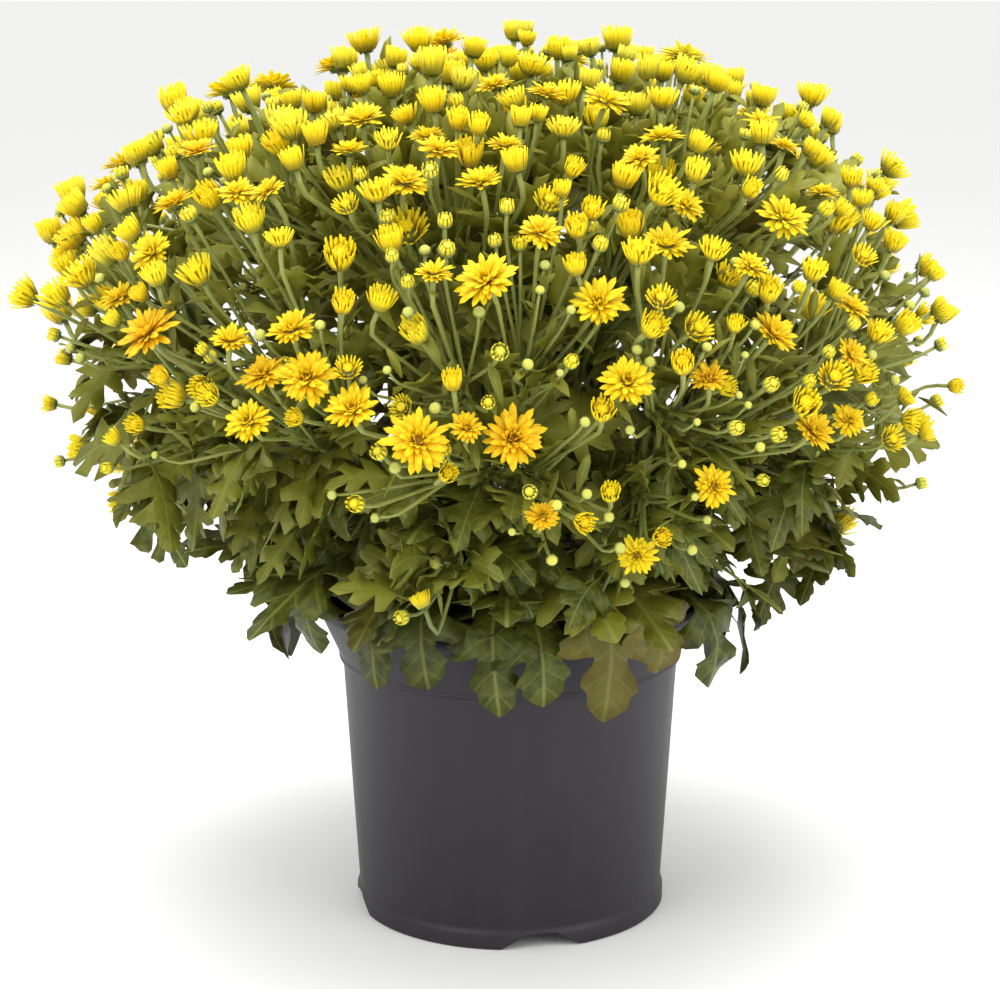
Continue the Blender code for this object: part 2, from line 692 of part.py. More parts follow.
def finish(made, look):
    """Gives a finished mesh its material, and shades it smooth but for its edges."""
    made.data.materials.clear()
    made.data.materials.append(look)
    made.data.shade_smooth()
    made.data.set_sharp_from_angle(angle=SHARP_ANGLE)
    return made


def apply_modifiers(made):
    graph = bpy.context.evaluated_depsgraph_get()
    mesh = bpy.data.meshes.new_from_object(made.evaluated_get(graph))
    made.modifiers.clear()
    made.data = mesh


def combine(target, helpers, operation, solver):
    """Cuts the helpers out of the target, or joins them to it. They are wires in their own collection."""
    holder = bpy.data.collections.new(target.name + " helpers")
    bpy.context.scene.collection.children.link(holder)
    for helper in helpers:
        helper.hide_render = True
        helper.display_type = "WIRE"
        holder.objects.link(helper)
    boolean = target.modifiers.new("Combine", "BOOLEAN")
    boolean.operand_type = "COLLECTION"
    boolean.collection = holder
    boolean.operation = operation
    boolean.solver = solver
    apply_modifiers(target)
    for helper in helpers:
        bpy.data.objects.remove(helper)
    bpy.data.collections.remove(holder)


def turned(name, profile, sides, collection):
    """A profile of (radius, height) points, down its outer side, turned round the axis."""
    mesh = bpy.data.meshes.new(name)
    corners = [(radius * MM, 0, height * MM) for radius, height in profile]
    mesh.from_pydata(corners, [(k, k + 1) for k in range(len(corners) - 1)], [])
    made = add_object(name, mesh, collection)
    screw = made.modifiers.new("Turn", "SCREW")
    screw.steps = sides
    screw.render_steps = sides
    screw.use_merge_vertices = True
    screw.merge_threshold = TOUCHING * MM
    return made


def drill(bottom, top, radius, spot, sides):
    """A cutter for a round upright hole."""
    bm = bmesh.new()
    bmesh.ops.create_cone(
        bm, cap_ends=True, segments=sides, radius1=radius * MM, radius2=radius * MM, depth=(top - bottom) * MM
    )
    made = bpy.data.objects.new("Drill", mesh_from("Drill", bm))
    made.location = (spot[0] * MM, spot[1] * MM, (top + bottom) / 2 * MM)
    return made


def notch_cutter(angle):
    """A block across the foot ring, wide at the bottom and narrow at the top."""
    bm = bmesh.new()
    bmesh.ops.create_cube(bm, size=1)
    slope = (NOTCH_BOTTOM_WIDTH - NOTCH_TOP_WIDTH) / NOTCH_HEIGHT
    for vert in bm.verts:
        height = NOTCH_HEIGHT if vert.co.z > 0 else -PAST_THE_FACE
        width = NOTCH_BOTTOM_WIDTH - slope * height
        vert.co = (vert.co.x * NOTCH_DEPTH * MM, vert.co.y * width * MM, height * MM)
    made = bpy.data.objects.new("Notch", mesh_from("Notch", bm))
    made.location = (FOOT_RADIUS * math.cos(angle) * MM, FOOT_RADIUS * math.sin(angle) * MM, 0)
    made.rotation_euler.z = angle
    return made


def make_pot(collection, look):
    hollow = [
        (0, FLOOR_TOP), (BODY_BOTTOM_RADIUS - WALL, FLOOR_TOP), (BODY_TOP_RADIUS - WALL, RIDGE_HEIGHT - 1),
        (BAND_TOP_RADIUS - WALL, LIP_BOTTOM - 1),
    ]
    outside = [
        (BAND_TOP_RADIUS - WALL + 0.8, POT_HEIGHT), (RIM_RADIUS - 0.8, POT_HEIGHT),
        (RIM_RADIUS, POT_HEIGHT - 1.2), (RIM_RADIUS - 0.2, LIP_BOTTOM), (BAND_TOP_RADIUS, LIP_BOTTOM - 0.5),
        (RIDGE_RADIUS + 0.4, RIDGE_HEIGHT + 1.4), (RIDGE_RADIUS, RIDGE_HEIGHT - 1.4),
        (BODY_TOP_RADIUS, RIDGE_HEIGHT - 2.4), (BODY_BOTTOM_RADIUS, GROOVE_HEIGHT + 1),
        (BODY_BOTTOM_RADIUS, GROOVE_HEIGHT - 1), (FOOT_RADIUS, GROOVE_HEIGHT - 2.5), (FOOT_RADIUS, 0),
    ]
    underside = [
        (FOOT_RADIUS - FOOT_WALL, 0), (FOOT_RADIUS - FOOT_WALL - 1.2, FLOOR_BOTTOM), (0, FLOOR_BOTTOM),
    ]
    pot = turned("pot", hollow + outside + underside, POT_SIDES, collection)
    angles = [FIRST_NOTCH_ANGLE + k * 2 * math.pi / NOTCHES for k in range(NOTCHES)]
    spots = [(0, 0)] + [(DRAIN_CIRCLE * math.cos(angle), DRAIN_CIRCLE * math.sin(angle)) for angle in angles]
    drains = [
        drill(FLOOR_BOTTOM - PAST_THE_FACE, FLOOR_TOP + PAST_THE_FACE, DRAIN_RADIUS, spot, DRAIN_SIDES)
        for spot in spots
    ]
    combine(pot, [notch_cutter(angle) for angle in angles] + drains, "DIFFERENCE", "EXACT")
    return finish(pot, look)


def make_mix(collection, look, sprays):
    """The potting mix: it fills the pot, is mounded in the middle, and has a hole for each stem."""
    wall = WALL + SEAT_GAP + MIX_SHRINK
    edge = np.interp(SOIL_TOP - 3, (RIDGE_HEIGHT - 1, LIP_BOTTOM - 1), (BODY_TOP_RADIUS, BAND_TOP_RADIUS))
    profile = [
        (0, SOIL_TOP + SOIL_MOUND), (edge * 0.8, SOIL_TOP), (edge - wall, SOIL_TOP - 3),
        (BODY_TOP_RADIUS - wall, RIDGE_HEIGHT - 1), (BODY_BOTTOM_RADIUS - wall, FLOOR_TOP + SEAT_GAP),
        (0, FLOOR_TOP + SEAT_GAP),
    ]
    mix = turned("potting_mix", profile, SOIL_SIDES, collection)
    holes = [
        drill(SOIL_TOP - HOLE_DEPTH, POT_HEIGHT, HOLE_RADIUS, spray.foot, HOLE_SIDES) for spray in sprays
    ]
    combine(mix, holes, "DIFFERENCE", "EXACT")
    return finish(mix, look)


def stem_object(name, points, radius):
    """A square-edged tube along points, as a closed mesh."""
    curve = bpy.data.curves.new(name, "CURVE")
    curve.dimensions = "3D"
    curve.bevel_depth = radius * MM
    curve.bevel_resolution = 0
    curve.use_fill_caps = True
    spline = curve.splines.new("POLY")
    spline.points.add(len(points) - 1)
    for point, place in zip(spline.points, points):
        point.co = (*(place * MM), 1)
    guide = add_object(name, curve, bpy.context.scene.collection)
    graph = bpy.context.evaluated_depsgraph_get()
    mesh = bpy.data.meshes.new_from_object(guide.evaluated_get(graph))
    bpy.data.objects.remove(guide)
    bm = bmesh.new()
    bm.from_mesh(mesh)
    bmesh.ops.remove_doubles(bm, verts=bm.verts, dist=TOUCHING * MM)
    return bpy.data.objects.new(name, mesh_from(name, bm))


def ring(middle, axis, across, radius, count, heights=(0.0,), radii=(1.0,)):
    """Points round an axis, the first towards across. heights and radii give every second one its own."""
    across = unit(across - axis * (across @ axis))
    other = np.cross(axis, across)
    points = []
    for k in range(count):
        angle = 2 * math.pi * k / count
        out = radius * radii[k % len(radii)]
        rise = heights[k % len(heights)]
        points.append(middle + (across * math.cos(angle) + other * math.sin(angle)) * out + axis * rise)
    return points


def loft(rings, tip=None):
    """A closed mesh through rings of unlike counts, flat at the first end, and with a fan to the tip."""
    bm = bmesh.new()
    rows = [[bm.verts.new(point * MM) for point in points] for points in rings]
    bm.faces.new(rows[0])
    for low, high in zip(rows, rows[1:]):
        i = j = 0
        while i < len(low) or j < len(high):
            a, b = low[i % len(low)], high[j % len(high)]
            if j == len(high) or (i < len(low) and (i + 1) / len(low) <= (j + 1) / len(high)):
                bm.faces.new((a, low[(i + 1) % len(low)], b))
                i += 1
            else:
                bm.faces.new((a, high[(j + 1) % len(high)], b))
                j += 1
    if tip is None:
        bm.faces.new(rows[-1])
    else:
        centre = bm.verts.new(tip * MM)
        for k, vert in enumerate(rows[-1]):
            bm.faces.new((vert, rows[-1][(k + 1) % len(rows[-1])], centre))
    return bm


def stalk_rings(head, points, radii):
    """Three-cornered rings along a stalk, from its root inside a stem to its neck.

    The first two rings are parallel, so that the faces where the stalk leaves its stem are flat.
    """
    ways = [unit(after - before) for before, after in zip(points, points[1:])]
    axes = [unit(before + after) for before, after in zip(ways, ways[1:])]
    axes = axes[:1] + axes + [head.axis] if axes else [ways[0], head.axis]
    return [ring(point, axis, head.across, radius, 3) for point, axis, radius in zip(points, axes, radii)]


def bloom_seat(head, points, radii):
    """A stalk that ends in the green seat under a separate bloom."""
    rings = stalk_rings(head, points[:-1] + [head.base - head.axis * SEAT_HEIGHT], radii)
    rings.append(ring(head.base - head.axis * SEAT_GAP, head.axis, head.across, SEAT_RADIUS, 3))
    return loft(rings)


def cup_on_stalk(head, points, radii):
    """A stalk with a cup on it, which has a pointed rim and a sunken middle."""
    petals = CUP_PETALS[head.kind]
    rings = stalk_rings(head, points, radii)
    top = head.base + head.axis * head.height
    bay = -0.32 * head.height
    rim = ring(top, head.axis, head.across, head.radius, petals * 2, heights=(0, bay), radii=(1, 0.78))
    rings.append(rim)
    return loft(rings, top - head.axis * head.height * 0.35)


def open_bloom(head):
    """Two layers of pointed petals round a sunken middle."""
    high = head.height
    across = head.towards(0)
    foot = ring(head.base, head.axis, across, BLOOM_FOOT_RADIUS, 4)
    outer = ring(
        head.base + head.axis * high * 0.75, head.axis, across, head.radius, BLOOM_PETALS * 2,
        heights=(0, -0.18 * high), radii=(1.0, 0.74),
    )
    crease = ring(head.base + head.axis * high * 0.68, head.axis, across, head.radius * 0.56, BLOOM_PETALS)
    inner = ring(
        head.base + head.axis * high, head.axis, across, head.radius * 0.62, BLOOM_PETALS * 2,
        heights=(0, -0.12 * high), radii=(1.0, 0.66),
    )
    return loft([foot, outer, crease, inner], head.base + head.axis * high * 0.62)


def leaf_object(leaf):
    """The flat outline as one face, split across at its corners, then bent and given its thickness."""
    bm = bmesh.new()
    bm.faces.new([bm.verts.new((along, beside, 0)) for along, beside in leaf.places()])
    for along, _ in leaf.outline[1:]:
        whole = bm.verts[:] + bm.edges[:] + bm.faces[:]
        bmesh.ops.bisect_plane(bm, geom=whole, dist=TOUCHING * MM, plane_co=(along, 0, 0), plane_no=(1, 0, 0))
    bmesh.ops.triangulate(bm, faces=bm.faces)
    for vert in bm.verts:
        vert.co = leaf.at(vert.co.x, vert.co.y) * MM
    bmesh.ops.recalc_face_normals(bm, faces=bm.faces)
    bmesh.ops.solidify(bm, geom=bm.faces[:], thickness=BLADE * MM)
    return bpy.data.objects.new("Leaf", mesh_from("Leaf", bm))


def keep_largest_body(mesh):
    """Drops loose scraps, and the hollows that fusing sealed."""
    bm = bmesh.new()
    bm.from_mesh(mesh)
    bodies = []
    waiting = set(bm.verts)
    while waiting:
        body = set()
        edge = {waiting.pop()}
        while edge:
            body |= edge
            edge = {other for vert in edge for link in vert.link_edges for other in link.verts} - body
        waiting -= body
        bodies.append(body)
    largest = max(bodies, key=len)
    bmesh.ops.delete(bm, geom=[vert for vert in bm.verts if vert not in largest], context="VERTS")
    bm.to_mesh(mesh)
    bm.free()


def make_spray(spray, collection, look):
    """Fuses a stem with its side stems, leaves, stalks and cups."""
    pieces = [leaf_object(leaf) for leaf in spray.leaves]
    lines = []
    for head, points in spray.stalks:
        head.across = unit(np.cross(points[-1] - points[0], ODD_WAY))
        lines.append((head, points, SPROUT_RADIUS))
    for side in spray.side_stems:
        if side.last:
            head, points = side.last
            head.across = side.across
            lines.append((head, side.line + points[1:], SIDE_STEM_RADIUS))
        else:
            pieces.append(stem_object("Side stem", side.line, SIDE_STEM_RADIUS))
    for head, points, first in lines:
        radii = ([first, first] + [STALK_RADIUS] * len(points))[: len(points) - 1] + [NECK_RADIUS]
        shape = cup_on_stalk if head.node == spray.number else bloom_seat
        pieces.append(bpy.data.objects.new("Flower", mesh_from("Flower", shape(head, points, radii))))
    stem = stem_object(f"leafy_stem_{spray.number + 1:02d}", spray.stem, STEM_RADIUS)
    collection.objects.link(stem)
    combine(stem, pieces, "UNION", "MANIFOLD")
    keep_largest_body(stem.data)
    return finish(stem, look)


def centre_sideways(objects, collection):
    """Hangs every object on the pot's axis, which stands so that the part's middle is over the origin."""
    low = np.min([np.array(corner) for made in objects for corner in made.bound_box], axis=0)
    high = np.max([np.array(corner) for made in objects for corner in made.bound_box], axis=0)
    axis = add_object("pot_axis", None, collection)
    axis.location = (-(low[0] + high[0]) / 2, -(low[1] + high[1]) / 2, 0)
    for made in objects:
        made.parent = axis


def main():
    for old in list(bpy.data.objects):
        bpy.data.objects.remove(old)
    collection = bpy.data.collections.new("Pot chrysanthemum")
    bpy.context.scene.collection.children.link(collection)
    plastic = material("Moulded polypropylene", "#3f3940", 0.42)
    mix = material("Potting mix", "#33261c", 0.95)
    foliage = material("Chrysanthemum foliage", "#4c6424", 0.55)
    petals = material("Chrysanthemum petals", "#ffd500", 0.5)
    sprays, blooms = grow()
    made = [make_pot(collection, plastic), make_mix(collection, mix, sprays)]
    made += [make_spray(spray, collection, foliage) for spray in sprays]
    for number, head in enumerate(blooms):
        mesh = mesh_from(f"bloom_{number + 1:02d}", open_bloom(head))
        made.append(finish(add_object(mesh.name, mesh, collection), petals))
    centre_sideways(made, collection)


main()
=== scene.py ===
"""A flowering chrysanthemum in its nursery pot, dressed for a studio picture.

The plant grows by the same plan as its solids: heads on a rounded crown, side stems to groups of them, and
leaves along the stems. To those this adds the smaller cups and buds, more leaves, and the fine shapes and
finishes. Sizes in the plan are in millimetres from the pot's axis and the floor.
"""

import json
import math

import bpy
import numpy as np
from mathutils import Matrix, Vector

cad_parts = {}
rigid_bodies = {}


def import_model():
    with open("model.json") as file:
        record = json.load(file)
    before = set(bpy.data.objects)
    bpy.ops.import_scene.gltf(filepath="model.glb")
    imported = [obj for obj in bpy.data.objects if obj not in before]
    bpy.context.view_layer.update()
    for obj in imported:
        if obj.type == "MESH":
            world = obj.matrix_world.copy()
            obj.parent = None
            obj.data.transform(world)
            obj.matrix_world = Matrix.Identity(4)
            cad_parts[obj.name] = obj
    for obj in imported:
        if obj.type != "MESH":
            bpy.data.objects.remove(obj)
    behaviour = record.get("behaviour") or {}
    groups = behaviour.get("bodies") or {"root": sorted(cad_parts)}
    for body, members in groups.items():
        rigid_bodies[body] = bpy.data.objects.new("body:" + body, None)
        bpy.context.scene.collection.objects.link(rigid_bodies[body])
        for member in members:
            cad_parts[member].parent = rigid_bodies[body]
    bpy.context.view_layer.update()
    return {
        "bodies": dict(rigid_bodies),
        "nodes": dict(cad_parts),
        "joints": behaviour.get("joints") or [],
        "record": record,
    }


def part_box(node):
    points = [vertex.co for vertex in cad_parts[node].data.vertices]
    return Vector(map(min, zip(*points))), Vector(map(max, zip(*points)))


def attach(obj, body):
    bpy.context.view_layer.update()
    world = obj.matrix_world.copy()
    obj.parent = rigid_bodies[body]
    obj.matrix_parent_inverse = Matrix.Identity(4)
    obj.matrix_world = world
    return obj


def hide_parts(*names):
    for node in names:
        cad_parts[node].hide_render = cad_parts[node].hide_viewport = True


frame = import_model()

MM = 0.001
SEED = 11

# Pot
POT_HEIGHT = 188.0
RIM_RADIUS = 115.5
LIP_BOTTOM = 180.5
BAND_TOP_RADIUS = 112.0
RIDGE_HEIGHT = 151.0
RIDGE_RADIUS = 99.8
BODY_TOP_RADIUS = 98.3
BODY_BOTTOM_RADIUS = 89.9
GROOVE_HEIGHT = 11.5
FOOT_RADIUS = 91.4
FOOT_WALL = 3.2
WALL = 2.0
FLOOR_BOTTOM = 11.0
FLOOR_TOP = 13.5
NOTCHES = 4
FIRST_NOTCH_ANGLE = math.radians(-78.5)
NOTCH_BOTTOM_WIDTH = 44.0
NOTCH_TOP_WIDTH = 16.0
NOTCH_HEIGHT = 9.0
NOTCH_DEPTH = 24.0
DRAIN_RADIUS = 6.0
DRAIN_CIRCLE = 62.0
PAST_THE_FACE = 2.0

# Potting mix
SOIL_TOP = 170.0
SOIL_MOUND = 5.0
SEAT_GAP = 0.3
HOLE_DEPTH = 22.0

# Crown: the rounded surface that the flower heads lie on
CROWN_CENTRE = np.array([-8.0, 0.0, 328.0])
CROWN_REACH_SIDE = 258.0
CROWN_REACH_DEPTH = 248.0
CROWN_RISE = 176.0
CROWN_DROP = 150.0
CROWN_SQUARENESS = 2.4

# The viewpoint that the heads' places were read from, and its picture's scale
EYE = np.array([0.0, -1406.0, 544.0])
EYE_PITCH = math.radians(12.03)
FOCAL_PIXELS = 2471.0
CENTRE_PIXEL = (510.0, 494.5)
# How far ahead of the eye the plant lies, and its rim leaves
DISTANCES = (1050.0, 1750.0)
DISTANCES_AT_THE_RIM = (1150.0, 1450.0)

# Heads seen in the photograph, as the pixel across, the pixel down and the width in pixels of each
OPEN_SEEN = (
    (98, 180, 38), (205, 156, 38), (175, 200, 42), (245, 194, 38), (272, 195, 36), (155, 258, 46),
    (360, 120, 46), (345, 142, 36), (425, 128, 36), (500, 90, 36), (505, 141, 36), (435, 152, 40),
    (405, 172, 50), (481, 177, 46), (540, 96, 38), (605, 103, 48), (665, 132, 42), (640, 157, 38),
    (690, 196, 38), (545, 232, 44), (670, 241, 52), (770, 113, 34), (790, 142, 32), (830, 187, 32),
    (795, 212, 54), (750, 268, 38), (483, 281, 60), (438, 275, 38), (600, 299, 54), (153, 332, 60),
    (110, 294, 40), (235, 343, 40), (290, 332, 46), (305, 372, 57), (252, 370, 46), (255, 418, 46),
    (355, 407, 52), (420, 438, 60), (512, 440, 60), (622, 388, 52), (715, 378, 38), (780, 325, 50),
    (860, 304, 36), (855, 358, 36), (822, 432, 46), (718, 488, 40), (637, 557, 38), (543, 517, 33),
    (469, 428, 34), (850, 420, 34),
)
HALF_SEEN = (
    (48, 233, 28), (75, 196, 30), (148, 160, 25), (185, 109, 26), (200, 137, 30), (246, 90, 26),
    (240, 150, 26), (170, 172, 25), (233, 171, 30), (85, 210, 30), (72, 241, 30), (130, 206, 28),
    (198, 195, 30), (275, 117, 28), (100, 253, 32), (65, 263, 26), (80, 276, 30), (160, 274, 25),
    (308, 97, 26), (292, 130, 30), (394, 56, 25), (433, 72, 33), (474, 57, 25), (527, 42, 18),
    (330, 115, 24), (320, 140, 28), (435, 109, 28), (460, 126, 24), (480, 133, 24), (520, 96, 25),
    (518, 128, 24), (298, 166, 26), (380, 198, 26), (285, 243, 22), (390, 242, 29), (590, 50, 22),
    (650, 66, 28), (685, 76, 30), (715, 86, 25), (767, 95, 26), (590, 78, 25), (560, 92, 28),
    (565, 125, 25), (698, 145, 25), (630, 172, 28), (515, 165, 28), (595, 207, 24), (655, 200, 30),
    (692, 181, 26), (750, 165, 28), (755, 142, 28), (572, 230, 26), (637, 257, 28), (708, 255, 24),
    (578, 268, 24), (845, 120, 20), (855, 178, 22), (868, 225, 22), (815, 273, 25), (773, 298, 28),
    (845, 293, 22), (922, 277, 18), (880, 335, 24), (865, 371, 26), (828, 378, 25), (912, 400, 18),
    (805, 406, 30), (65, 298, 30), (168, 398, 30), (195, 388, 24), (112, 440, 18), (343, 305, 26),
    (377, 301, 27), (452, 383, 24), (445, 478, 22), (655, 303, 22), (650, 328, 28), (678, 365, 27),
    (609, 407, 26), (612, 497, 22), (581, 520, 22), (422, 603, 20), (940, 385, 17), (930, 435, 18),
)

# Tips of the leaves that hang over the front of the pot, as the pixel across and the pixel down of each
RIM_LEAVES_SEEN = (
    (322, 655), (375, 692), (428, 688), (483, 727), (545, 705), (605, 722), (655, 672), (702, 688),
    (752, 632),
)

# Heads and hanging leaves on the sides that the photograph doesn't show
HIDDEN_RIM_LEAVES = 12
RIM_LEAF_GAPS = (12, 22)
RIM_TIP_HEIGHTS = (125, 155)
HIDDEN_HEADS = 58
HIDDEN_OPEN_SHARE = 0.3
TRIES_TO_A_HIDDEN_HEAD = 2.6
FRONTMOST_HIDDEN = -20.0
LOWEST_HIDDEN = -0.42
OPEN_RADII = (11.5, 15.5)
HALF_RADII = (6.0, 9.5)

# Stems
OUTER_STEMS = 11
INNER_STEMS = 6
OUTER_STEM_CIRCLE = 56.0
INNER_STEM_CIRCLE = 27.0
OUTER_RISE = math.radians(14)
INNER_RISE = math.radians(56)
STEM_RADIUS = 2.8
SIDE_STEM_RADIUS = 1.7
STALK_RADIUS = 1.1
NECK_RADIUS = 1.9
STEM_LEAVES = (0.1, 0.5)
SIDE_LEAVES = (0.45,)
SKIRT_LEAVES = 28
HIGH_SKIRT_EVERY = 4
HIGH_SKIRT_LIFT = 44.0
SKIRT_REACH = (185, 222)
SKIRT_HEIGHT = (196, 222)
FORK_SHARE = 0.5
HUB_SHARE = 0.5
HEADS_TO_A_SIDE_STEM = 4
STALK_STEP = 6.0
SPROUT_REACH = 3.4
ROOT_FREE = 7.0
BUDS_TO_A_STEM = 1
BLOOM_NODES = 40

# Gaps kept between the pieces of different nodes, and how far off a piece can matter
GAP = 0.5
NEIGHBOUR_REACH = 22.0

# A direction that no stalk grows along, which turns round stalks and heads are measured from
ODD_WAY = np.array([0.31, 0.2, 0.93])


def unit(vector):
    """The direction of a vector, one unit long."""
    return vector / np.linalg.norm(vector)


def crown_level(points):
    """Under 1 inside the crown, 1 on it, and over 1 outside."""
    away = np.asarray(points) - CROWN_CENTRE
    out = np.hypot(away[..., 0] / CROWN_REACH_SIDE, away[..., 1] / CROWN_REACH_DEPTH)
    rise = np.where(away[..., 2] > 0, away[..., 2] / CROWN_RISE, -away[..., 2] / CROWN_DROP)
    return (out**CROWN_SQUARENESS + rise**CROWN_SQUARENESS) ** (1 / CROWN_SQUARENESS)


def on_crown(direction, level=1.0):
    """The crown's point in this direction from its centre."""
    return CROWN_CENTRE + direction * level / crown_level(CROWN_CENTRE + direction)


def outward(point):
    """The direction that the crown faces at a point."""
    return unit(np.array([crown_level(point + step) - crown_level(point - step) for step in np.eye(3)]))


def line_of_sight(across, down, ahead):
    """The points this far ahead of the eye on the line of sight through a pixel."""
    cos, sin = math.cos(EYE_PITCH), math.sin(EYE_PITCH)
    side, up = across - CENTRE_PIXEL[0], CENTRE_PIXEL[1] - down
    sight = np.array([side, cos * FOCAL_PIXELS + sin * up, cos * up - sin * FOCAL_PIXELS]) / FOCAL_PIXELS
    return EYE + ahead[:, None] * sight


def seen_on_crown(across, down):
    """The crown's first point along the line of sight through a pixel, and its distance ahead of the eye."""
    ahead = np.arange(*DISTANCES)
    points = line_of_sight(across, down, ahead)
    levels = crown_level(points)
    inside = np.nonzero(levels < 1)[0]
    first = inside[0] if len(inside) else levels.argmin()
    return points[first], ahead[first]


class Head:
    """A flower head: its middle, its axis, its radius, and its kind, which is open, half, cracked or bud."""

    def __init__(self, middle, radius, kind, draw):
        self.middle = middle
        self.radius = radius
        self.kind = kind
        self.level = draw.uniform(0.97, 1.03)
        self.tilt = draw.normal(0, 0.16, 3)
        self.turn = draw.uniform(0, 2 * math.pi)
        self.spray = None
        self.node = None

    @property
    def height(self):
        """How tall the head is along its axis."""
        return self.radius * {"open": 0.8, "half": 1.3, "cracked": 1.5, "bud": 1.7}[self.kind]

    def face(self):
        """Heads on top face up, and those on the sides face out and up."""
        self.axis = unit(0.55 * outward(self.middle) + np.array([0, 0, 0.5]) + self.tilt)
        self.base = self.middle - self.axis * self.height / 2

    def towards(self, angle):
        """The direction across the head at this angle round its axis, from the head's own turn."""
        across = unit(np.cross(self.axis, ODD_WAY))
        other = np.cross(self.axis, across)
        return across * math.cos(angle + self.turn) + other * math.sin(angle + self.turn)


def golden_ways(count, lowest, highest):
    """Directions spread evenly between two heights of a ball."""
    golden = math.pi * (3 - math.sqrt(5))
    for k in range(count):
        rise = lowest + (highest - lowest) * (k + 0.5) / count
        out = math.sqrt(1 - rise * rise)
        yield np.array([out * math.cos(k * golden), out * math.sin(k * golden), rise])


def seen_heads(draw):
    """The open and half-open heads in sight, where the photograph shows them."""
    heads = []
    for kind, seen in (("open", OPEN_SEEN), ("half", HALF_SEEN)):
        for across, down, width in seen:
            point, ahead = seen_on_crown(across, down)
            heads.append(Head(point, width / 2 * ahead / FOCAL_PIXELS, kind, draw))
    return heads


def hidden_heads(draw):
    """Heads in a golden-angle spiral over the part of the crown that faces away from the eye."""
    heads = []
    for way in golden_ways(int(HIDDEN_HEADS * TRIES_TO_A_HIDDEN_HEAD), LOWEST_HIDDEN, 1.0):
        point = on_crown(way)
        kind = "open" if draw.random() < HIDDEN_OPEN_SHARE else "half"
        radius = draw.uniform(*(OPEN_RADII if kind == "open" else HALF_RADII))
        if outward(point) @ unit(EYE - point) < 0.02 and point[1] > FRONTMOST_HIDDEN:
            heads.append(Head(point + draw.normal(0, 7, 3), radius, kind, draw))
    return heads


def spread(heads, rounds=60):
    """Pushes heads apart along the crown until none touches another."""
    middles = np.array([head.middle for head in heads])
    radii = np.array([head.radius for head in heads])
    levels = np.array([head.level for head in heads])
    least = radii[:, None] + radii[None] + 2 * GAP
    for _ in range(rounds):
        apart = middles[:, None] - middles[None]
        distance = np.linalg.norm(apart, axis=2) + np.eye(len(heads)) * 1e6
        lack = np.clip(least - distance, 0, None)
        push = (apart / distance[..., None] * lack[..., None]).sum(axis=1)
        middles = middles + push * 0.45
        scale = levels / crown_level(middles)
        middles = CROWN_CENTRE + (middles - CROWN_CENTRE) * (1 + (scale - 1) * 0.5)[:, None]
    for head, middle in zip(heads, middles):
        head.middle = middle
        head.face()


class Space:
    """What is taken: balls along every piece, with the number of the node that each belongs to."""

    def __init__(self):
        self.balls = np.empty((5, 0))

    def take(self, centres, radius, node):
        """Marks balls of this radius as taken by a node."""
        rows = [centres.T, np.full((1, len(centres)), radius), np.full((1, len(centres)), node)]
        self.balls = np.hstack([self.balls, np.vstack(rows)])

    def clear(self, centres, radius, own, gap=GAP):
        """Whether balls of this radius stay off every node that isn't in own, and off the pot."""
        if not clear_of_pot(centres, radius):
            return False
        x, y, z, radii, nodes = self.balls
        low, high = centres.min(axis=0) - NEIGHBOUR_REACH, centres.max(axis=0) + NEIGHBOUR_REACH
        near = (x > low[0]) & (x < high[0]) & (y > low[1]) & (y < high[1]) & (z > low[2]) & (z < high[2])
        for node in own:
            near &= nodes != node
        near = near.nonzero()[0]
        apart = sum((line[near] - centres[:, k : k + 1]) ** 2 for k, line in enumerate((x, y, z)))
        return bool((apart > (radius + radii[near] + gap) ** 2).all())


def clear_of_pot(centres, radius):
    """Whether balls here stay outside the pot, above it, or inside it over the mix."""
    away = np.hypot(centres[:, 0], centres[:, 1])
    outside = away > RIM_RADIUS + radius + 1
    above = centres[:, 2] > POT_HEIGHT + radius + 1
    inside = (away < BAND_TOP_RADIUS - 6 - radius) & (centres[:, 2] > SOIL_TOP - HOLE_DEPTH - 1)
    return bool((outside | above | inside).all())


def beads(points, spacing=2.4):
    """Points evenly along a line of points."""
    line = [points[0][None]]
    for start, end in zip(points, points[1:]):
        count = max(1, math.ceil(np.linalg.norm(end - start) / spacing))
        line.append(start + (end - start) * (np.arange(1, count + 1) / count)[:, None])
    return np.vstack(line)


def spray_directions():
    """The way that each leafy stem grows from the crown's centre: one up, then a high ring and a low one."""
    directions = [np.array([0.0, 0.0, 1.0])]
    for count, rise in ((INNER_STEMS, INNER_RISE), (OUTER_STEMS, OUTER_RISE)):
        for k in range(count):
            angle = 2 * math.pi * (k + 0.25) / count
            flat = math.cos(rise)
            directions.append(np.array([flat * math.cos(angle), flat * math.sin(angle), math.sin(rise)]))
    return directions


class SideStem:
    """A side stem from a main stem's side to its end, with the heads that grow on it, and the last one."""

    def __init__(self, start, end, heads):
        self.start, self.end = start, end
        self.way = unit(end - start)
        self.across = unit(np.cross(self.way, ODD_WAY))
        self.heads = sorted(heads, key=lambda head: -(head.base @ self.way))
        self.line = [start, end]

    def sprout(self, back, towards):
        """A stalk's first points, this far before the end: in the stem, then out from a face's middle."""
        root = self.end - self.way * min(back, 0.7 * np.linalg.norm(self.end - self.start))
        other = np.cross(self.way, self.across)
        faces = [
            self.across * math.cos(angle) + other * math.sin(angle)
            for angle in (math.pi / 3, math.pi, -math.pi / 3)
        ]
        out = max(faces, key=lambda face: face @ (towards - root))
        return [root, root + out * SPROUT_REACH + self.way * SPROUT_REACH * 0.5]


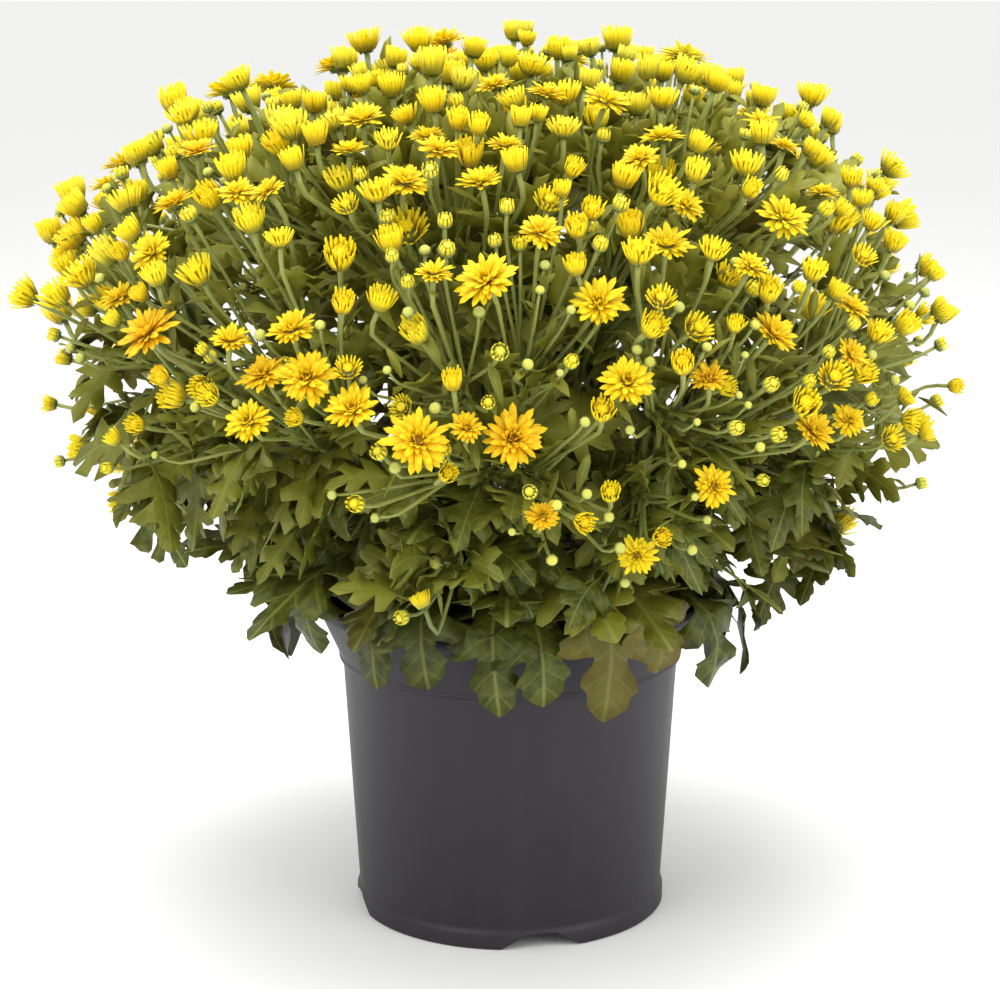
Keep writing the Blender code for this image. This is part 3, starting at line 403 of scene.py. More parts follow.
class Spray:
    """One leafy stem, from its hole in the potting mix to its heads."""

    def __init__(self, number, direction):
        self.number = number
        self.direction = direction
        circle = 0.0 if number == 0 else INNER_STEM_CIRCLE if number <= INNER_STEMS else OUTER_STEM_CIRCLE
        flat = direction * [1, 1, 0]
        spot = unit(flat) * circle if circle else np.zeros(3)
        self.foot = spot + [0, 0, SOIL_TOP - HOLE_DEPTH + 2 * SEAT_GAP]
        self.collar = spot + [0, 0, SOIL_TOP + 14]
        reach = on_crown(direction) - self.collar
        self.fork = self.collar + FORK_SHARE * reach
        self.bend = self.collar + 0.5 * (self.fork - self.collar) + [0, 0, 0.1 * np.linalg.norm(reach)]
        self.heads = []
        self.side_stems = []
        self.stalks = []
        self.leaves = []

    @property
    def stem(self):
        """The main stem's points, from the mix to its fork."""
        return [self.foot, self.collar, self.bend, self.fork]

    def branch(self):
        """Groups the heads by nearness, and gives each group a side stem. The furthest start highest."""
        bases = np.array([head.base for head in self.heads])
        count = max(1, round(len(bases) / HEADS_TO_A_SIDE_STEM))
        centres = bases[np.linspace(0, len(bases) - 1, count).astype(int)]
        for _ in range(12):
            nearest = np.linalg.norm(bases[:, None] - centres[None], axis=2).argmin(axis=1)
            centres = np.array([bases[nearest == k].mean(axis=0) for k in sorted(set(nearest))])
        nearest = np.linalg.norm(bases[:, None] - centres[None], axis=2).argmin(axis=1)
        order = np.argsort(centres @ self.direction)
        for place, k in enumerate(order):
            share = 1 - 0.62 * (len(order) - 1 - place) / max(len(order) - 1, 1)
            start = self.bend + (self.fork - self.bend) * share
            end = start + (centres[k] - start) * HUB_SHARE
            heads = [head for head, group in zip(self.heads, nearest) if group == k]
            self.side_stems.append(SideStem(start, end, heads))


def share_out(heads, sprays):
    """Each head grows on the stem that points its way."""
    ways = np.array([spray.direction for spray in sprays])
    for head in heads:
        away = (head.middle - CROWN_CENTRE) / [CROWN_REACH_SIDE, CROWN_REACH_DEPTH, CROWN_RISE]
        head.spray = int((ways @ unit(away)).argmax())
        sprays[head.spray].heads.append(head)
    for spray in sprays:
        spray.branch()


def route(space, start, end, radius, own, spray=None):
    """A straight way from start to end, or the first bent one that keeps clear, or None.

    With a spray's number, the way also stays off that spray's other pieces, but for its first millimetres.
    """
    way = unit(end - start)
    across = unit(np.cross(way, ODD_WAY))
    other = np.cross(way, across)
    length = np.linalg.norm(end - start)
    for share in (0.0, 0.07, 0.13, 0.2, 0.28):
        for k in range(8 if share else 1):
            angle = k * math.pi / 4
            offset = (across * math.cos(angle) + other * math.sin(angle)) * share * length
            points = [start, end] if share == 0 else [start, (start + end) / 2 + offset, end]
            balls = beads(points)
            if space.clear(balls, radius, own):
                further = balls[np.linalg.norm(balls - start, axis=1) > ROOT_FREE]
                others = [node for node in own if node != spray]
                if spray is None or not len(further) or space.clear(further, radius, others, -1.2):
                    return points
    return None


def head_balls(head):
    """Balls that hold a head: one for a cup or a bud, and a ring with a middle for an open bloom."""
    if head.kind != "open":
        return np.array([head.middle]), head.radius * 1.02
    ring = [head.middle + head.towards(k * math.pi / 3) * head.radius * 0.5 for k in range(6)]
    return np.array([head.middle] + ring), head.radius * 0.62


def grow_stalk(space, spray, side, place, head, own):
    """A stalk from this side stem, or else from another of the spray's, or None."""
    roots = [(side, STALK_STEP * (place + more)) for more in (0, 1, -1, 2, 3)]
    roots += [(other, STALK_STEP * 0.6) for other in spray.side_stems if other is not side]
    for apart in (spray.number, None):
        for stem, back in roots:
            root, first = stem.sprout(back, head.base)
            points = route(space, first, head.base, NECK_RADIUS, own, apart)
            if points:
                return [root] + points
    return None


def grow_stalks(space, sprays):
    """Side stems, and stalks to the heads. It returns the heads that found no clear way."""
    lost = []
    for spray in sprays:
        space.take(beads(spray.stem), STEM_RADIUS * 1.1, spray.number)
    for spray in sprays:
        for side in spray.side_stems:
            side.line = route(space, side.start, side.end, SIDE_STEM_RADIUS, [spray.number]) or side.line
            space.take(beads(side.line), SIDE_STEM_RADIUS * 1.1, spray.number)
    for spray in sprays:
        for side in spray.side_stems:
            side.last = None
            for place, head in enumerate(side.heads):
                own = [spray.number, head.node]
                points = None
                if side.last is None:
                    points = route(space, side.end, head.base, NECK_RADIUS, own)
                    if points:
                        side.last = (head, points)
                if points is None:
                    points = grow_stalk(space, spray, side, place, head, own)
                    if points:
                        spray.stalks.append((head, points))
                if points is None:
                    lost.append(head)
                    continue
                space.take(beads(points), NECK_RADIUS * 1.02, spray.number)
    return lost


# Leaf outlines: half of each, as the place along the leaf's length and the half width in lengths
RIM_LEAF = ((0, 0), (0.48, 0.015), (0.64, 0.17), (0.70, 0.075), (0.84, 0.145), (0.87, 0.06))
LOBED_LEAF = ((0, 0), (0.36, 0.29), (0.47, 0.13), (0.68, 0.22))
SKIRT_LEAF = ((0, 0), (0.40, 0.02), (0.66, 0.23), (0.77, 0.10))
SMALL_LEAF = ((0, 0), (0.48, 0.30), (0.62, 0.11))
LEAF_BALL = 2.9
LEAF_LIFT = 90.0


class Leaf:
    """A blade along a curve from start, bent towards turn, to its tip, with its upper face towards up."""

    def __init__(self, outline, start, turn, tip, up, fold):
        self.outline = outline
        self.start, self.turn, self.tip = start, turn, tip
        self.side = unit(np.cross(up, tip - start))
        self.fold = fold
        # A curve is about as long as the mean of its chord and the way round by its turn.
        chord = np.linalg.norm(tip - start)
        round_about = np.linalg.norm(turn - start) + np.linalg.norm(tip - turn)
        self.length = (chord + round_about) / 2

    def at(self, along, beside):
        """The blade's points this far along the rib, in lengths, and this far to its side."""
        along, beside = np.asarray(along)[..., None], np.asarray(beside)[..., None]
        rest = 1 - along
        rib = rest * rest * self.start + 2 * rest * along * self.turn + along * along * self.tip
        way = rest * (self.turn - self.start) + along * (self.tip - self.turn)
        lift = np.cross(way / np.linalg.norm(way, axis=-1, keepdims=True), self.side)
        return rib + (self.side * beside + lift * abs(beside) * self.fold) * self.length

    def places(self):
        """The outline's corners, along and beside the rib, from the base round by the tip."""
        left = [(x, -y) for x, y in reversed(self.outline) if y]
        return list(self.outline) + [(1.0, 0.0)] + left

    def balls(self, spacing=4.0):
        """Points spread over the blade, which is flat from each corner of its outline to the next."""
        corners = list(self.outline) + [(1.0, 0.0)]
        spots = []
        for (low, first), (high, last) in zip(corners, corners[1:]):
            rows = math.ceil((high - low) * self.length / spacing)
            for share in np.arange(rows) / rows:
                half = first + (last - first) * share
                across = math.ceil(half * self.length / spacing)
                spots += [(low, high, share, half * j / max(across, 1)) for j in range(-across, across + 1)]
        low, high, share, beside = np.array(spots + [(0.0, 1.0, 1.0, 0.0)]).T
        return self.at(low, beside) * (1 - share[:, None]) + self.at(high, beside) * share[:, None]


def add_leaf(space, spray, leaf, free, apart=False):
    """Adds a leaf to its stem if the blade keeps clear of other nodes, and says whether it did.

    The first stretch, as long as free, isn't looked at. Where apart is set, the rest also keeps clear of
    the leaf's own node.
    """
    balls = leaf.balls()
    away = np.linalg.norm(balls - leaf.start, axis=1)
    if not space.clear(balls[away > free], LEAF_BALL, [spray.number]):
        return False
    if apart and not space.clear(balls[away > ROOT_FREE], LEAF_BALL, [], -2.0):
        return False
    spray.leaves.append(leaf)
    space.take(balls[away > free], LEAF_BALL, spray.number)
    return True


def try_leaf(space, spray, outline, start, way, length, droop, draw):
    """Adds a leaf at start along way, at the first of several turns that keeps clear."""
    for attempt in range(14):
        turned = unit(way + draw.normal(0, 0.08 + 0.05 * attempt, 3))
        size = length * (1 - 0.025 * attempt)
        turn = start + turned * size * 0.5 + [0, 0, size * 0.08]
        tip = start + turned * size * 0.92 - np.array([0, 0, size * droop])
        up = unit(unit(start - CROWN_CENTRE + [0, 0, LEAF_LIFT]) + draw.normal(0, 0.2, 3))
        leaf = Leaf(outline, start, turn, tip, up, draw.uniform(0.05, 0.35))
        if add_leaf(space, spray, leaf, 4, apart=True):
            return


def rim_leaf(space, sprays, tip, draw):
    """A large leaf on the nearest outer stem, that reaches over the pot's lip and hangs down to its tip."""
    out = unit(tip * [1, 1, 0])
    spray = max(sprays[INNER_STEMS + 1 :], key=lambda spray: spray.direction @ out)
    for attempt in range(16):
        height = draw.uniform(192, 214)
        share = (height - spray.collar[2]) / (spray.bend[2] - spray.collar[2])
        start = spray.collar + (spray.bend - spray.collar) * share
        moved = tip + draw.normal(0, 1.5 + attempt, 3) * [1, 1, 0.6]
        far = max(np.hypot(*moved[:2]), RIM_RADIUS + 8)
        turn = out * (far + draw.uniform(10, 34)) + [0, 0, height + draw.uniform(4, 18)]
        moved = unit(moved * [1, 1, 0]) * far + [0, 0, moved[2]]
        leaf = Leaf(RIM_LEAF, start, turn, moved, unit(out + [0, 0, 0.3]), draw.uniform(0.0, 0.25))
        if add_leaf(space, spray, leaf, 5):
            return


def skirt_leaf(space, sprays, angle, lift, draw):
    """A long-stalked leaf on the nearest outer stem, that spreads out under the crown's lower edge."""
    out = np.array([math.cos(angle), math.sin(angle), 0])
    spray = max(sprays[INNER_STEMS + 1 :], key=lambda spray: spray.direction @ out)
    for attempt in range(16):
        start = spray.collar + (spray.bend - spray.collar) * draw.uniform(0.25, 0.8)
        far = draw.uniform(*SKIRT_REACH) - 2 * attempt
        aside = np.array([-out[1], out[0], 0]) * draw.normal(0, 3 + attempt)
        tip = out * far + aside + [0, 0, draw.uniform(*SKIRT_HEIGHT) + lift]
        turn = out * far * 0.62 + aside * 0.5 + [0, 0, start[2] + draw.uniform(8, 26) + lift * 0.6]
        leaf = Leaf(SKIRT_LEAF, start, turn, tip, unit(out * 0.4 + draw.normal(0, 0.2, 3) + [0, 0, 1]), 0.15)
        if add_leaf(space, spray, leaf, 5):
            return


def rim_leaf_tips(draw):
    """Where the hanging leaves end: those in sight in front of the pot, then the rest by a rule."""
    tips = []
    for across, down in RIM_LEAVES_SEEN:
        points = line_of_sight(across, down, np.arange(*DISTANCES_AT_THE_RIM))
        away = np.hypot(points[:, 0], points[:, 1])
        near = np.nonzero(away < RIM_RADIUS + RIM_LEAF_GAPS[0])[0]
        tips.append(points[near[0] if len(near) else away.argmin()])
    for k in range(HIDDEN_RIM_LEAVES):
        angle = math.pi * (-0.02 + 1.04 * (k + 0.5) / HIDDEN_RIM_LEAVES)
        far = RIM_RADIUS + RIM_LEAF_GAPS[0 if k % 2 else 1]
        tips.append(np.array([far * math.cos(angle), far * math.sin(angle), draw.uniform(*RIM_TIP_HEIGHTS)]))
    return tips


def grow_leaves(space, sprays, draw):
    """Hanging leaves first, then those under the crown's edge, along the stems and along the side stems."""
    for tip in rim_leaf_tips(draw):
        rim_leaf(space, sprays, tip, draw)
    for k in range(SKIRT_LEAVES):
        lift = HIGH_SKIRT_LIFT if k % HIGH_SKIRT_EVERY == 0 else 0
        skirt_leaf(space, sprays, 2 * math.pi * k / SKIRT_LEAVES, lift, draw)
    for spray in sprays:
        out = unit(spray.direction * [1, 1, 0]) if spray.number else np.array([0.7, -0.7, 0])
        beside = np.array([-out[1], out[0], 0])
        for place, share in enumerate(STEM_LEAVES if spray.number > INNER_STEMS else STEM_LEAVES[1:]):
            start = spray.bend + (spray.fork - spray.bend) * share
            way = unit(out * 0.8 + beside * (0.9 if place % 2 else -0.9) + [0, 0, draw.uniform(-0.4, 0.2)])
            outline = LOBED_LEAF if place == 0 else SMALL_LEAF
            try_leaf(space, spray, outline, start, way, draw.uniform(46, 62), 0.25, draw)
        for k, side in enumerate(spray.side_stems):
            for place, share in enumerate(SIDE_LEAVES):
                hand = 1 if (k + place) % 2 else -1
                way = unit(beside * hand * 0.8 + out * 0.3 + [0, 0, draw.uniform(-0.3, 0.2)])
                length = np.linalg.norm(side.end - side.start)
                start, first = side.sprout(length * (1 - share), side.end + way * 90)
                size = draw.uniform(44, 60)
                try_leaf(space, spray, SMALL_LEAF, start, unit(first - start), size, 0.15, draw)


def grow_buds(space, sprays, draw):
    """Closed buds on stalks of their own, near the ends of side stems."""
    for spray in sprays:
        for k in range(BUDS_TO_A_STEM):
            side = spray.side_stems[k % len(spray.side_stems)]
            for _ in range(10):
                way = unit(side.way + draw.normal(0, 0.45, 3))
                back = draw.uniform(8, 30)
                root, start = side.sprout(back, side.end + way * 40)
                bud = Head(start + way * draw.uniform(26, 44), draw.uniform(3.4, 4.6), "bud", draw)
                bud.axis = unit(way + [0, 0, 0.5])
                bud.base = bud.middle - bud.axis * bud.height / 2
                bud.node = spray.number
                points = route(space, start, bud.base, STALK_RADIUS * 1.3, [spray.number], spray.number)
                if points and space.clear(bud.middle[None], bud.radius * 1.5, []):
                    spray.stalks.append((bud, [root] + points))
                    space.take(bud.middle[None], bud.radius * 1.4, spray.number)
                    space.take(beads(points), STALK_RADIUS * 1.4, spray.number)
                    break


def grow(draw):
    """The plant of the solids: what is taken, sprays, heads, and the open blooms that are nodes."""
    heads = seen_heads(draw) + hidden_heads(draw)
    spread(heads)
    sprays = [Spray(number, direction) for number, direction in enumerate(spray_directions())]
    share_out(heads, sprays)
    largest = sorted((head for head in heads if head.kind == "open"), key=lambda head: -head.radius)
    for number, head in enumerate(largest[:BLOOM_NODES]):
        head.node = len(sprays) + number
    space = Space()
    for head in heads:
        if head.node is None:
            head.node = head.spray
        space.take(*head_balls(head), head.node)
    lost = grow_stalks(space, sprays)
    grow_buds(space, sprays, draw)
    grow_leaves(space, sprays, draw)
    blooms = [head for head in largest[:BLOOM_NODES] if head not in lost]
    return space, sprays, [head for head in heads if head not in lost], blooms


# Narrower cups and buds seen in the photograph, as the pixel across, the pixel down and the width in pixels
MORE_SEEN = (
    (122, 174, 16), (175, 153, 18), (208, 108, 14), (190, 216, 18), (122, 254, 20), (95, 226, 22),
    (362, 87, 22), (361, 67, 15), (455, 58, 20), (508, 60, 22), (388, 143, 22), (456, 102, 18),
    (430, 172, 18), (347, 207, 20), (360, 175, 15), (445, 222, 17), (447, 250, 19), (507, 208, 17),
    (570, 56, 18), (605, 46, 18), (748, 85, 20), (538, 116, 20), (573, 170, 22), (562, 191, 20),
    (620, 205, 18), (750, 191, 22), (600, 245, 18), (805, 122, 18), (810, 150, 20), (875, 188, 18),
    (862, 201, 20), (840, 210, 20), (825, 210, 18), (862, 258, 20), (735, 326, 20), (908, 420, 20),
    (735, 428, 18), (776, 435, 17), (142, 295, 20), (115, 320, 19), (162, 378, 20), (212, 398, 20),
    (138, 425, 20), (297, 418, 20), (348, 370, 20), (403, 408, 20), (499, 353, 19), (357, 504, 19),
    (571, 362, 17), (724, 388, 20), (530, 492, 17), (660, 538, 21), (403, 617, 16), (167, 128, 12),
    (107, 188, 12), (208, 172, 12), (60, 212, 12), (100, 278, 12), (55, 335, 16), (70, 348, 12),
    (80, 358, 12), (108, 468, 14), (236, 403, 10), (155, 455, 9), (203, 350, 14), (212, 358, 14),
    (260, 335, 14), (195, 407, 12), (403, 70, 14), (427, 54, 14), (387, 218, 15), (392, 257, 15),
    (425, 250, 13), (302, 393, 16), (320, 325, 12), (408, 312, 13), (408, 283, 16), (435, 408, 14),
    (488, 403, 15), (445, 450, 16), (380, 453, 18), (395, 468, 14), (332, 495, 11), (375, 518, 11),
    (479, 312, 14), (387, 370, 10), (363, 380, 10), (325, 383, 11), (540, 290, 11), (571, 310, 11),
    (637, 350, 12), (650, 362, 13), (679, 307, 13), (560, 373, 9), (585, 422, 12), (630, 430, 11),
    (707, 347, 12), (745, 355, 9), (739, 395, 9), (748, 405, 9), (697, 422, 9), (682, 464, 10),
    (587, 494, 12), (609, 517, 12), (557, 505, 12), (707, 520, 10), (695, 497, 9), (692, 550, 12),
    (620, 548, 13), (625, 583, 11), (552, 560, 13), (577, 617, 13), (512, 532, 9), (760, 447, 12),
    (762, 480, 14), (798, 288, 15), (752, 290, 18), (755, 325, 12), (852, 325, 15), (828, 353, 15),
    (872, 355, 12), (808, 382, 15), (770, 385, 18), (895, 380, 12), (940, 345, 15), (870, 400, 15),
    (890, 440, 20), (885, 275, 12), (925, 292, 12), (910, 305, 12), (735, 262, 12), (695, 90, 12),
    (590, 228, 16), (520, 245, 16), (545, 265, 12),
)
# The crown's top edge, as the pixel across and the pixel down
TOP_EDGE_SEEN = (
    (0, 230), (40, 222), (100, 168), (175, 106), (245, 86), (305, 90), (355, 66), (395, 46),
    (430, 56), (475, 46), (527, 34), (600, 40), (690, 52), (770, 86), (845, 112), (890, 190),
    (930, 260), (1000, 330),
)
MORE_HIDDEN = 116
MORE_ON_TOP = 130
MORE_RADII = (3.0, 8.4)
TOP_CUP_RADII = (5.6, 8.4)
TOP_BUD_RADII = (3.0, 4.5)
TOP_CUP_SHARE = 0.75
# The least radii of half-open and cracked heads, and how far each head is moved, in turn, to stand clear
HALF_FROM = 4.7
CRACKED_FROM = 3.4
MOVES = (0, 7, -6, 14, 22, -12, 30, 40)

# Leaf tips seen at the crown's outline and over the pot, as the pixel across and the pixel down
LEAF_TIPS_SEEN = (
    (34, 301), (60, 345), (72, 400), (90, 438), (82, 388), (120, 492), (155, 530), (187, 567),
    (245, 583), (305, 597), (935, 545), (855, 577), (800, 606), (757, 627), (712, 636), (880, 530),
    (210, 545), (170, 505), (900, 500), (830, 575), (275, 575), (130, 470), (740, 600), (330, 620),
    (400, 640), (440, 655), (520, 660), (575, 650), (630, 640), (690, 625), (360, 630), (470, 640),
    (600, 660), (555, 630), (670, 650),
)
CANOPY_LEAVES = 1400
INNER_LEAVES = 190
INNER_LEVELS = (0.15, 0.6)
INNER_LEAF_LENGTHS = (50, 64)
CANOPY_LEVELS = (0.6, 0.95)
CANOPY_LEAF_LENGTHS = (34, 54)
LOW_LEAVES = 200
LOW_LEVELS = (0.72, 1.02)
LOW_LEAF_LENGTHS = (36, 56)
SEEN_LEAF_LENGTH = 52
UPPER_LEAF_SHARE = 0.75
UPPER_LEAF_LENGTHS = (9, 24)
LEAF_REACH = (20.0, 66.0)


def tip_in_sight(across, down):
    """The point nearest to the pot's axis on the line of sight through a pixel."""
    points = line_of_sight(across, down, np.arange(*DISTANCES, 2.0))
    return points[np.hypot(points[:, 0], points[:, 1]).argmin()]


def under_top_edge(point, radius):
    """Whether a head here stays under the crown's top edge as it was seen."""
    way = point - EYE
    cos, sin = math.cos(EYE_PITCH), math.sin(EYE_PITCH)
    ahead = (way[1] * cos - way[2] * sin) / FOCAL_PIXELS
    across = CENTRE_PIXEL[0] + way[0] / ahead
    down = CENTRE_PIXEL[1] - (way[1] * sin + way[2] * cos + radius) / ahead
    return down > np.interp(across, *zip(*TOP_EDGE_SEEN))


def nearest_stem(sprays, point):
    """The spray and the side stem that can best carry something at this point."""
    best = None
    for spray in sprays:
        for side in spray.side_stems:
            way = point - side.end
            cost = np.linalg.norm(way) * (1.7 - side.way @ unit(point - side.start))
            if best is None or cost < best[0]:
                best = (cost, spray, side)
    return best[1], best[2]


def add_heads(space, sprays, heads, draw):
    """The smaller cups and buds: those in sight where they are seen, and as many at the back."""
    middles = [head.middle for head in heads]
    radii = [head.radius for head in heads]
    wanted = []
    for across, down, width in MORE_SEEN:
        point, ahead = seen_on_crown(across, down)
        wanted.append((point, unit(point - EYE), width / 2 * ahead / FOCAL_PIXELS))
    for way in golden_ways(MORE_HIDDEN * 2, -0.5, 1.0):
        point = on_crown(way) + draw.normal(0, 5, 3)
        if outward(point) @ unit(EYE - point) < 0.05 and point[1] > -30:
            wanted.append((point, -outward(point), draw.uniform(*MORE_RADII)))
    for way in golden_ways(MORE_ON_TOP, 0.1, 1.0):
        point = on_crown(way, 0.985) + draw.normal(0, 5, 3)
        kind_radii = TOP_CUP_RADII if draw.random() < TOP_CUP_SHARE else TOP_BUD_RADII
        wanted.append((point, -outward(point), draw.uniform(*kind_radii)))
    for point, way, radius in wanted:
        for step in MOVES:
            spot = point + way * step
            clear = np.linalg.norm(np.array(middles) - spot, axis=1) > np.array(radii) + radius + 0.5
            if clear.all() and under_top_edge(spot, radius):
                break
        else:
            continue
        kind = "half" if radius > HALF_FROM else "cracked" if radius > CRACKED_FROM else "bud"
        head = Head(spot, radius, kind, draw)
        head.face()
        spray, side = nearest_stem(sprays, head.base)
        head.axis = unit(head.axis + unit(spot - side.end))
        head.base = spot - head.axis * head.height / 2
        head.node = spray.number
        root, first = side.sprout(draw.uniform(2, 26), head.base)
        points = route(space, first, head.base, 1.2, [spray.number]) or [first, head.base]
        spray.stalks.append((head, [root] + points))
        space.take(beads(points), 1.5, spray.number)
        middles.append(spot)
        radii.append(radius)
        heads.append(head)


def stem_points(sprays):
    """Points along every stem and stalk, with the spray that each belongs to."""
    points, owners = [], []
    for spray in sprays:
        lines = [spray.stem[1:]] + [side.line for side in spray.side_stems]
        lines += [line for _, line in spray.stalks]
        for line in lines:
            along = beads(line, 5.0)
            points.append(along)
            owners.append(np.full(len(along), spray.number))
    return np.vstack(points), np.concatenate(owners)


def hang_leaf(crowd, sprays, stems, kind, tip, draw, wanted=40.0):
    """A leaf with its tip here, on the stem that stands best for it, or on a twig where none is near."""
    points, owners = stems
    away = np.linalg.norm(points - tip, axis=1)
    inwards = unit(CROWN_CENTRE - [0, 0, 60] - tip)
    cost = abs(away - wanted) - 14 * ((points - tip) @ inwards) / away + 400 * (away < LEAF_REACH[0])
    best = int(cost.argmin())
    root, spray = points[best], sprays[owners[best]]
    start = root
    if away[best] > LEAF_REACH[1]:
        start = tip + unit(root - tip) * wanted
        spray.twigs.append([root, (root + start) / 2 + draw.normal(0, 2, 3), start])
    reach = np.linalg.norm(tip - start)
    turn = (start + tip) / 2 + [0, 0, reach * draw.uniform(0.05, 0.25)] + draw.normal(0, 0.05, 3) * reach
    up = unit(np.array([0, 0, 0.8]) - 0.4 * inwards + draw.normal(0, 0.5, 3))
    leaf = Leaf(kind, start, turn, tip, up, draw.uniform(0.0, 0.4))
    balls = leaf.balls(8.0)
    balls = balls[np.linalg.norm(balls - start, axis=1) > 6]
    if len(balls) and crowd.clear(balls, 0.8, []):
        spray.leaves.append(leaf)


def add_leaves(crowd, sprays, draw):
    """Leaves that fill the crown behind the heads, and those that hang out of it round its foot."""
    stems = stem_points(sprays)
    for across, down in LEAF_TIPS_SEEN:
        hang_leaf(crowd, sprays, stems, LOBED_LEAF, tip_in_sight(across, down), draw, SEEN_LEAF_LENGTH)
    for way in golden_ways(LOW_LEAVES, -0.9, -0.12):
        tip = on_crown(way, draw.uniform(*LOW_LEVELS)) + draw.normal(0, 4, 3)
        hang_leaf(crowd, sprays, stems, LOBED_LEAF, tip, draw, draw.uniform(*LOW_LEAF_LENGTHS))
    for way in golden_ways(CANOPY_LEAVES, -0.8, 1.0):
        low, high = CANOPY_LEVELS
        tip = on_crown(way, high - (high - low) * draw.random() ** 1.5) + draw.normal(0, 4, 3)
        hang_leaf(crowd, sprays, stems, MIDDLE_LEAF, tip, draw, draw.uniform(*CANOPY_LEAF_LENGTHS))
    for way in golden_ways(INNER_LEAVES, -0.5, 0.9):
        tip = on_crown(way, draw.uniform(*INNER_LEVELS)) + draw.normal(0, 8, 3)
        hang_leaf(crowd, sprays, stems, MIDDLE_LEAF, tip, draw, draw.uniform(*INNER_LEAF_LENGTHS))
    for spray in sprays:
        for head, points in spray.stalks:
            if draw.random() > UPPER_LEAF_SHARE:
                continue
            top, below = points[-1], points[-2]
            upwards = unit(top - below)
            root = top - upwards * min(14 * draw.uniform(0.8, 1.3), 0.8 * np.linalg.norm(top - below))
            size = draw.uniform(*UPPER_LEAF_LENGTHS)
            tip = root + unit(upwards * 0.7 + draw.normal(0, 0.6, 3)) * size
            turn = (root + tip) / 2 + [0, 0, 0.15 * size]
            leaf = Leaf(BRACT_LEAF, root, turn, tip, unit([0, 0, 1.0] + draw.normal(0, 0.3, 3)), 0.3)
            if crowd.clear(leaf.balls(6.0)[-2:], 0.5, []):
                spray.leaves.append(leaf)


def grow_whole():
    """The plan of the solids first, so that it comes out the same, and then what is finer than them."""
    draw = np.random.default_rng(SEED)
    space, sprays, heads, blooms = grow(draw)
    draw = np.random.default_rng(SEED + 1)
    for spray in sprays:
        spray.twigs = []
        for side in spray.side_stems:
            if side.last:
                head, points = side.last
                spray.stalks.append((head, side.line + points[1:]))
    add_heads(space, sprays, heads, draw)
    crowd = Space()
    for head in heads:
        crowd.take(head.middle[None], head.radius * 0.8, 0)
    add_leaves(crowd, sprays, draw)
    return sprays, blooms


def linear(colour):
    """An sRGB hex value as linear red, green and blue, with full alpha."""
    parts = [int(colour[k : k + 2], 16) / 255 for k in (1, 3, 5)]
    return (*[c / 12.92 if c <= 0.04045 else ((c + 0.055) / 1.055) ** 2.4 for c in parts], 1.0)


def wire(tree, node, links):
    """Joins a node's sockets to what they take their values from: an output, or a node's main output."""
    for key, source in links.items():
        if isinstance(source, bpy.types.Node):
            source = source.outputs[2 if source.bl_idname == "ShaderNodeMix" else 0]
        tree.links.new(source, node.inputs[key])


def add_node(tree, kind, settings=(), links=()):
    """Adds a node, with its properties or socket values, and what its sockets take their values from."""
    made = tree.nodes.new("ShaderNode" + kind)
    for key, value in dict(settings).items():
        if isinstance(key, str) and hasattr(made, key):
            setattr(made, key, value)
        else:
            made.inputs[key].default_value = value
    wire(tree, made, dict(links))
    return made


def new_finish(name, **values):
    """A material with its shader's constant values set, its node tree and its shader."""
    made = bpy.data.materials.new(name)
    made.use_nodes = True
    shader = made.node_tree.nodes["Principled BSDF"]
    for key, value in values.items():
        shader.inputs[key.replace("_", " ")].default_value = value
    return made, made.node_tree, shader


def colour_ramp(tree, factor, *stops):
    """A colour ramp through (place, hex) stops."""
    ramp = add_node(tree, "ValToRGB", links={"Fac": factor})
    elements = ramp.color_ramp.elements
    while len(elements) < len(stops):
        elements.new(0.5)
    for element, (place, colour) in zip(elements, stops):
        element.position = place
        element.color = linear(colour)
    return ramp


# Petals by tone: golden when old, lemon when young, and green-white in the bud
TIP_COLOURS = ((0.0, "#efae00"), (0.3, "#f4cb00"), (0.6, "#f2d906"), (0.8, "#e2d846"), (1.0, "#b4b85a"))
FOOT_COLOURS = ((0.0, "#c98600"), (0.3, "#daa600"), (0.6, "#bdb02a"), (0.8, "#a9b04a"), (1.0, "#7d8c40"))


def ray_florets():
    """Ray florets: thin waxy petals, lemon to golden, greener at the foot, with fine grooves along them."""
    made, tree, shader = new_finish(
        "Chrysanthemum ray florets", Roughness=0.5, Subsurface_Weight=0.18, Subsurface_Scale=0.003,
        Subsurface_Radius=(1.0, 0.7, 0.15), Sheen_Weight=0.05, Specular_IOR_Level=0.28,
    )
    place = add_node(tree, "SeparateXYZ", links={0: add_node(tree, "UVMap", {"uv_map": "flat"})})
    tone = add_node(tree, "Attribute", {"attribute_name": "tone"}).outputs["Fac"]
    along = add_node(
        tree, "MapRange", {"From Min": 0.05, "From Max": 0.65, "interpolation_type": "SMOOTHSTEP"},
        {"Value": place.outputs["Y"]},
    )
    foot, tip = colour_ramp(tree, tone, *FOOT_COLOURS), colour_ramp(tree, tone, *TIP_COLOURS)
    colour = add_node(tree, "Mix", {"data_type": "RGBA"}, {0: along, 6: foot, 7: tip})
    # Four grooves run along a floret that is 3 to 4 mm wide.
    turns = add_node(tree, "Math", {"operation": "MULTIPLY", 1: 4 * 2 * math.pi}, {0: place.outputs["X"]})
    grooves = add_node(tree, "Math", {"operation": "COSINE"}, {0: turns})
    bump = add_node(tree, "Bump", {"Strength": 0.35, "Distance": 0.0003}, {"Height": grooves})
    wire(tree, shader, {"Base Color": colour, "Normal": bump})
    return made


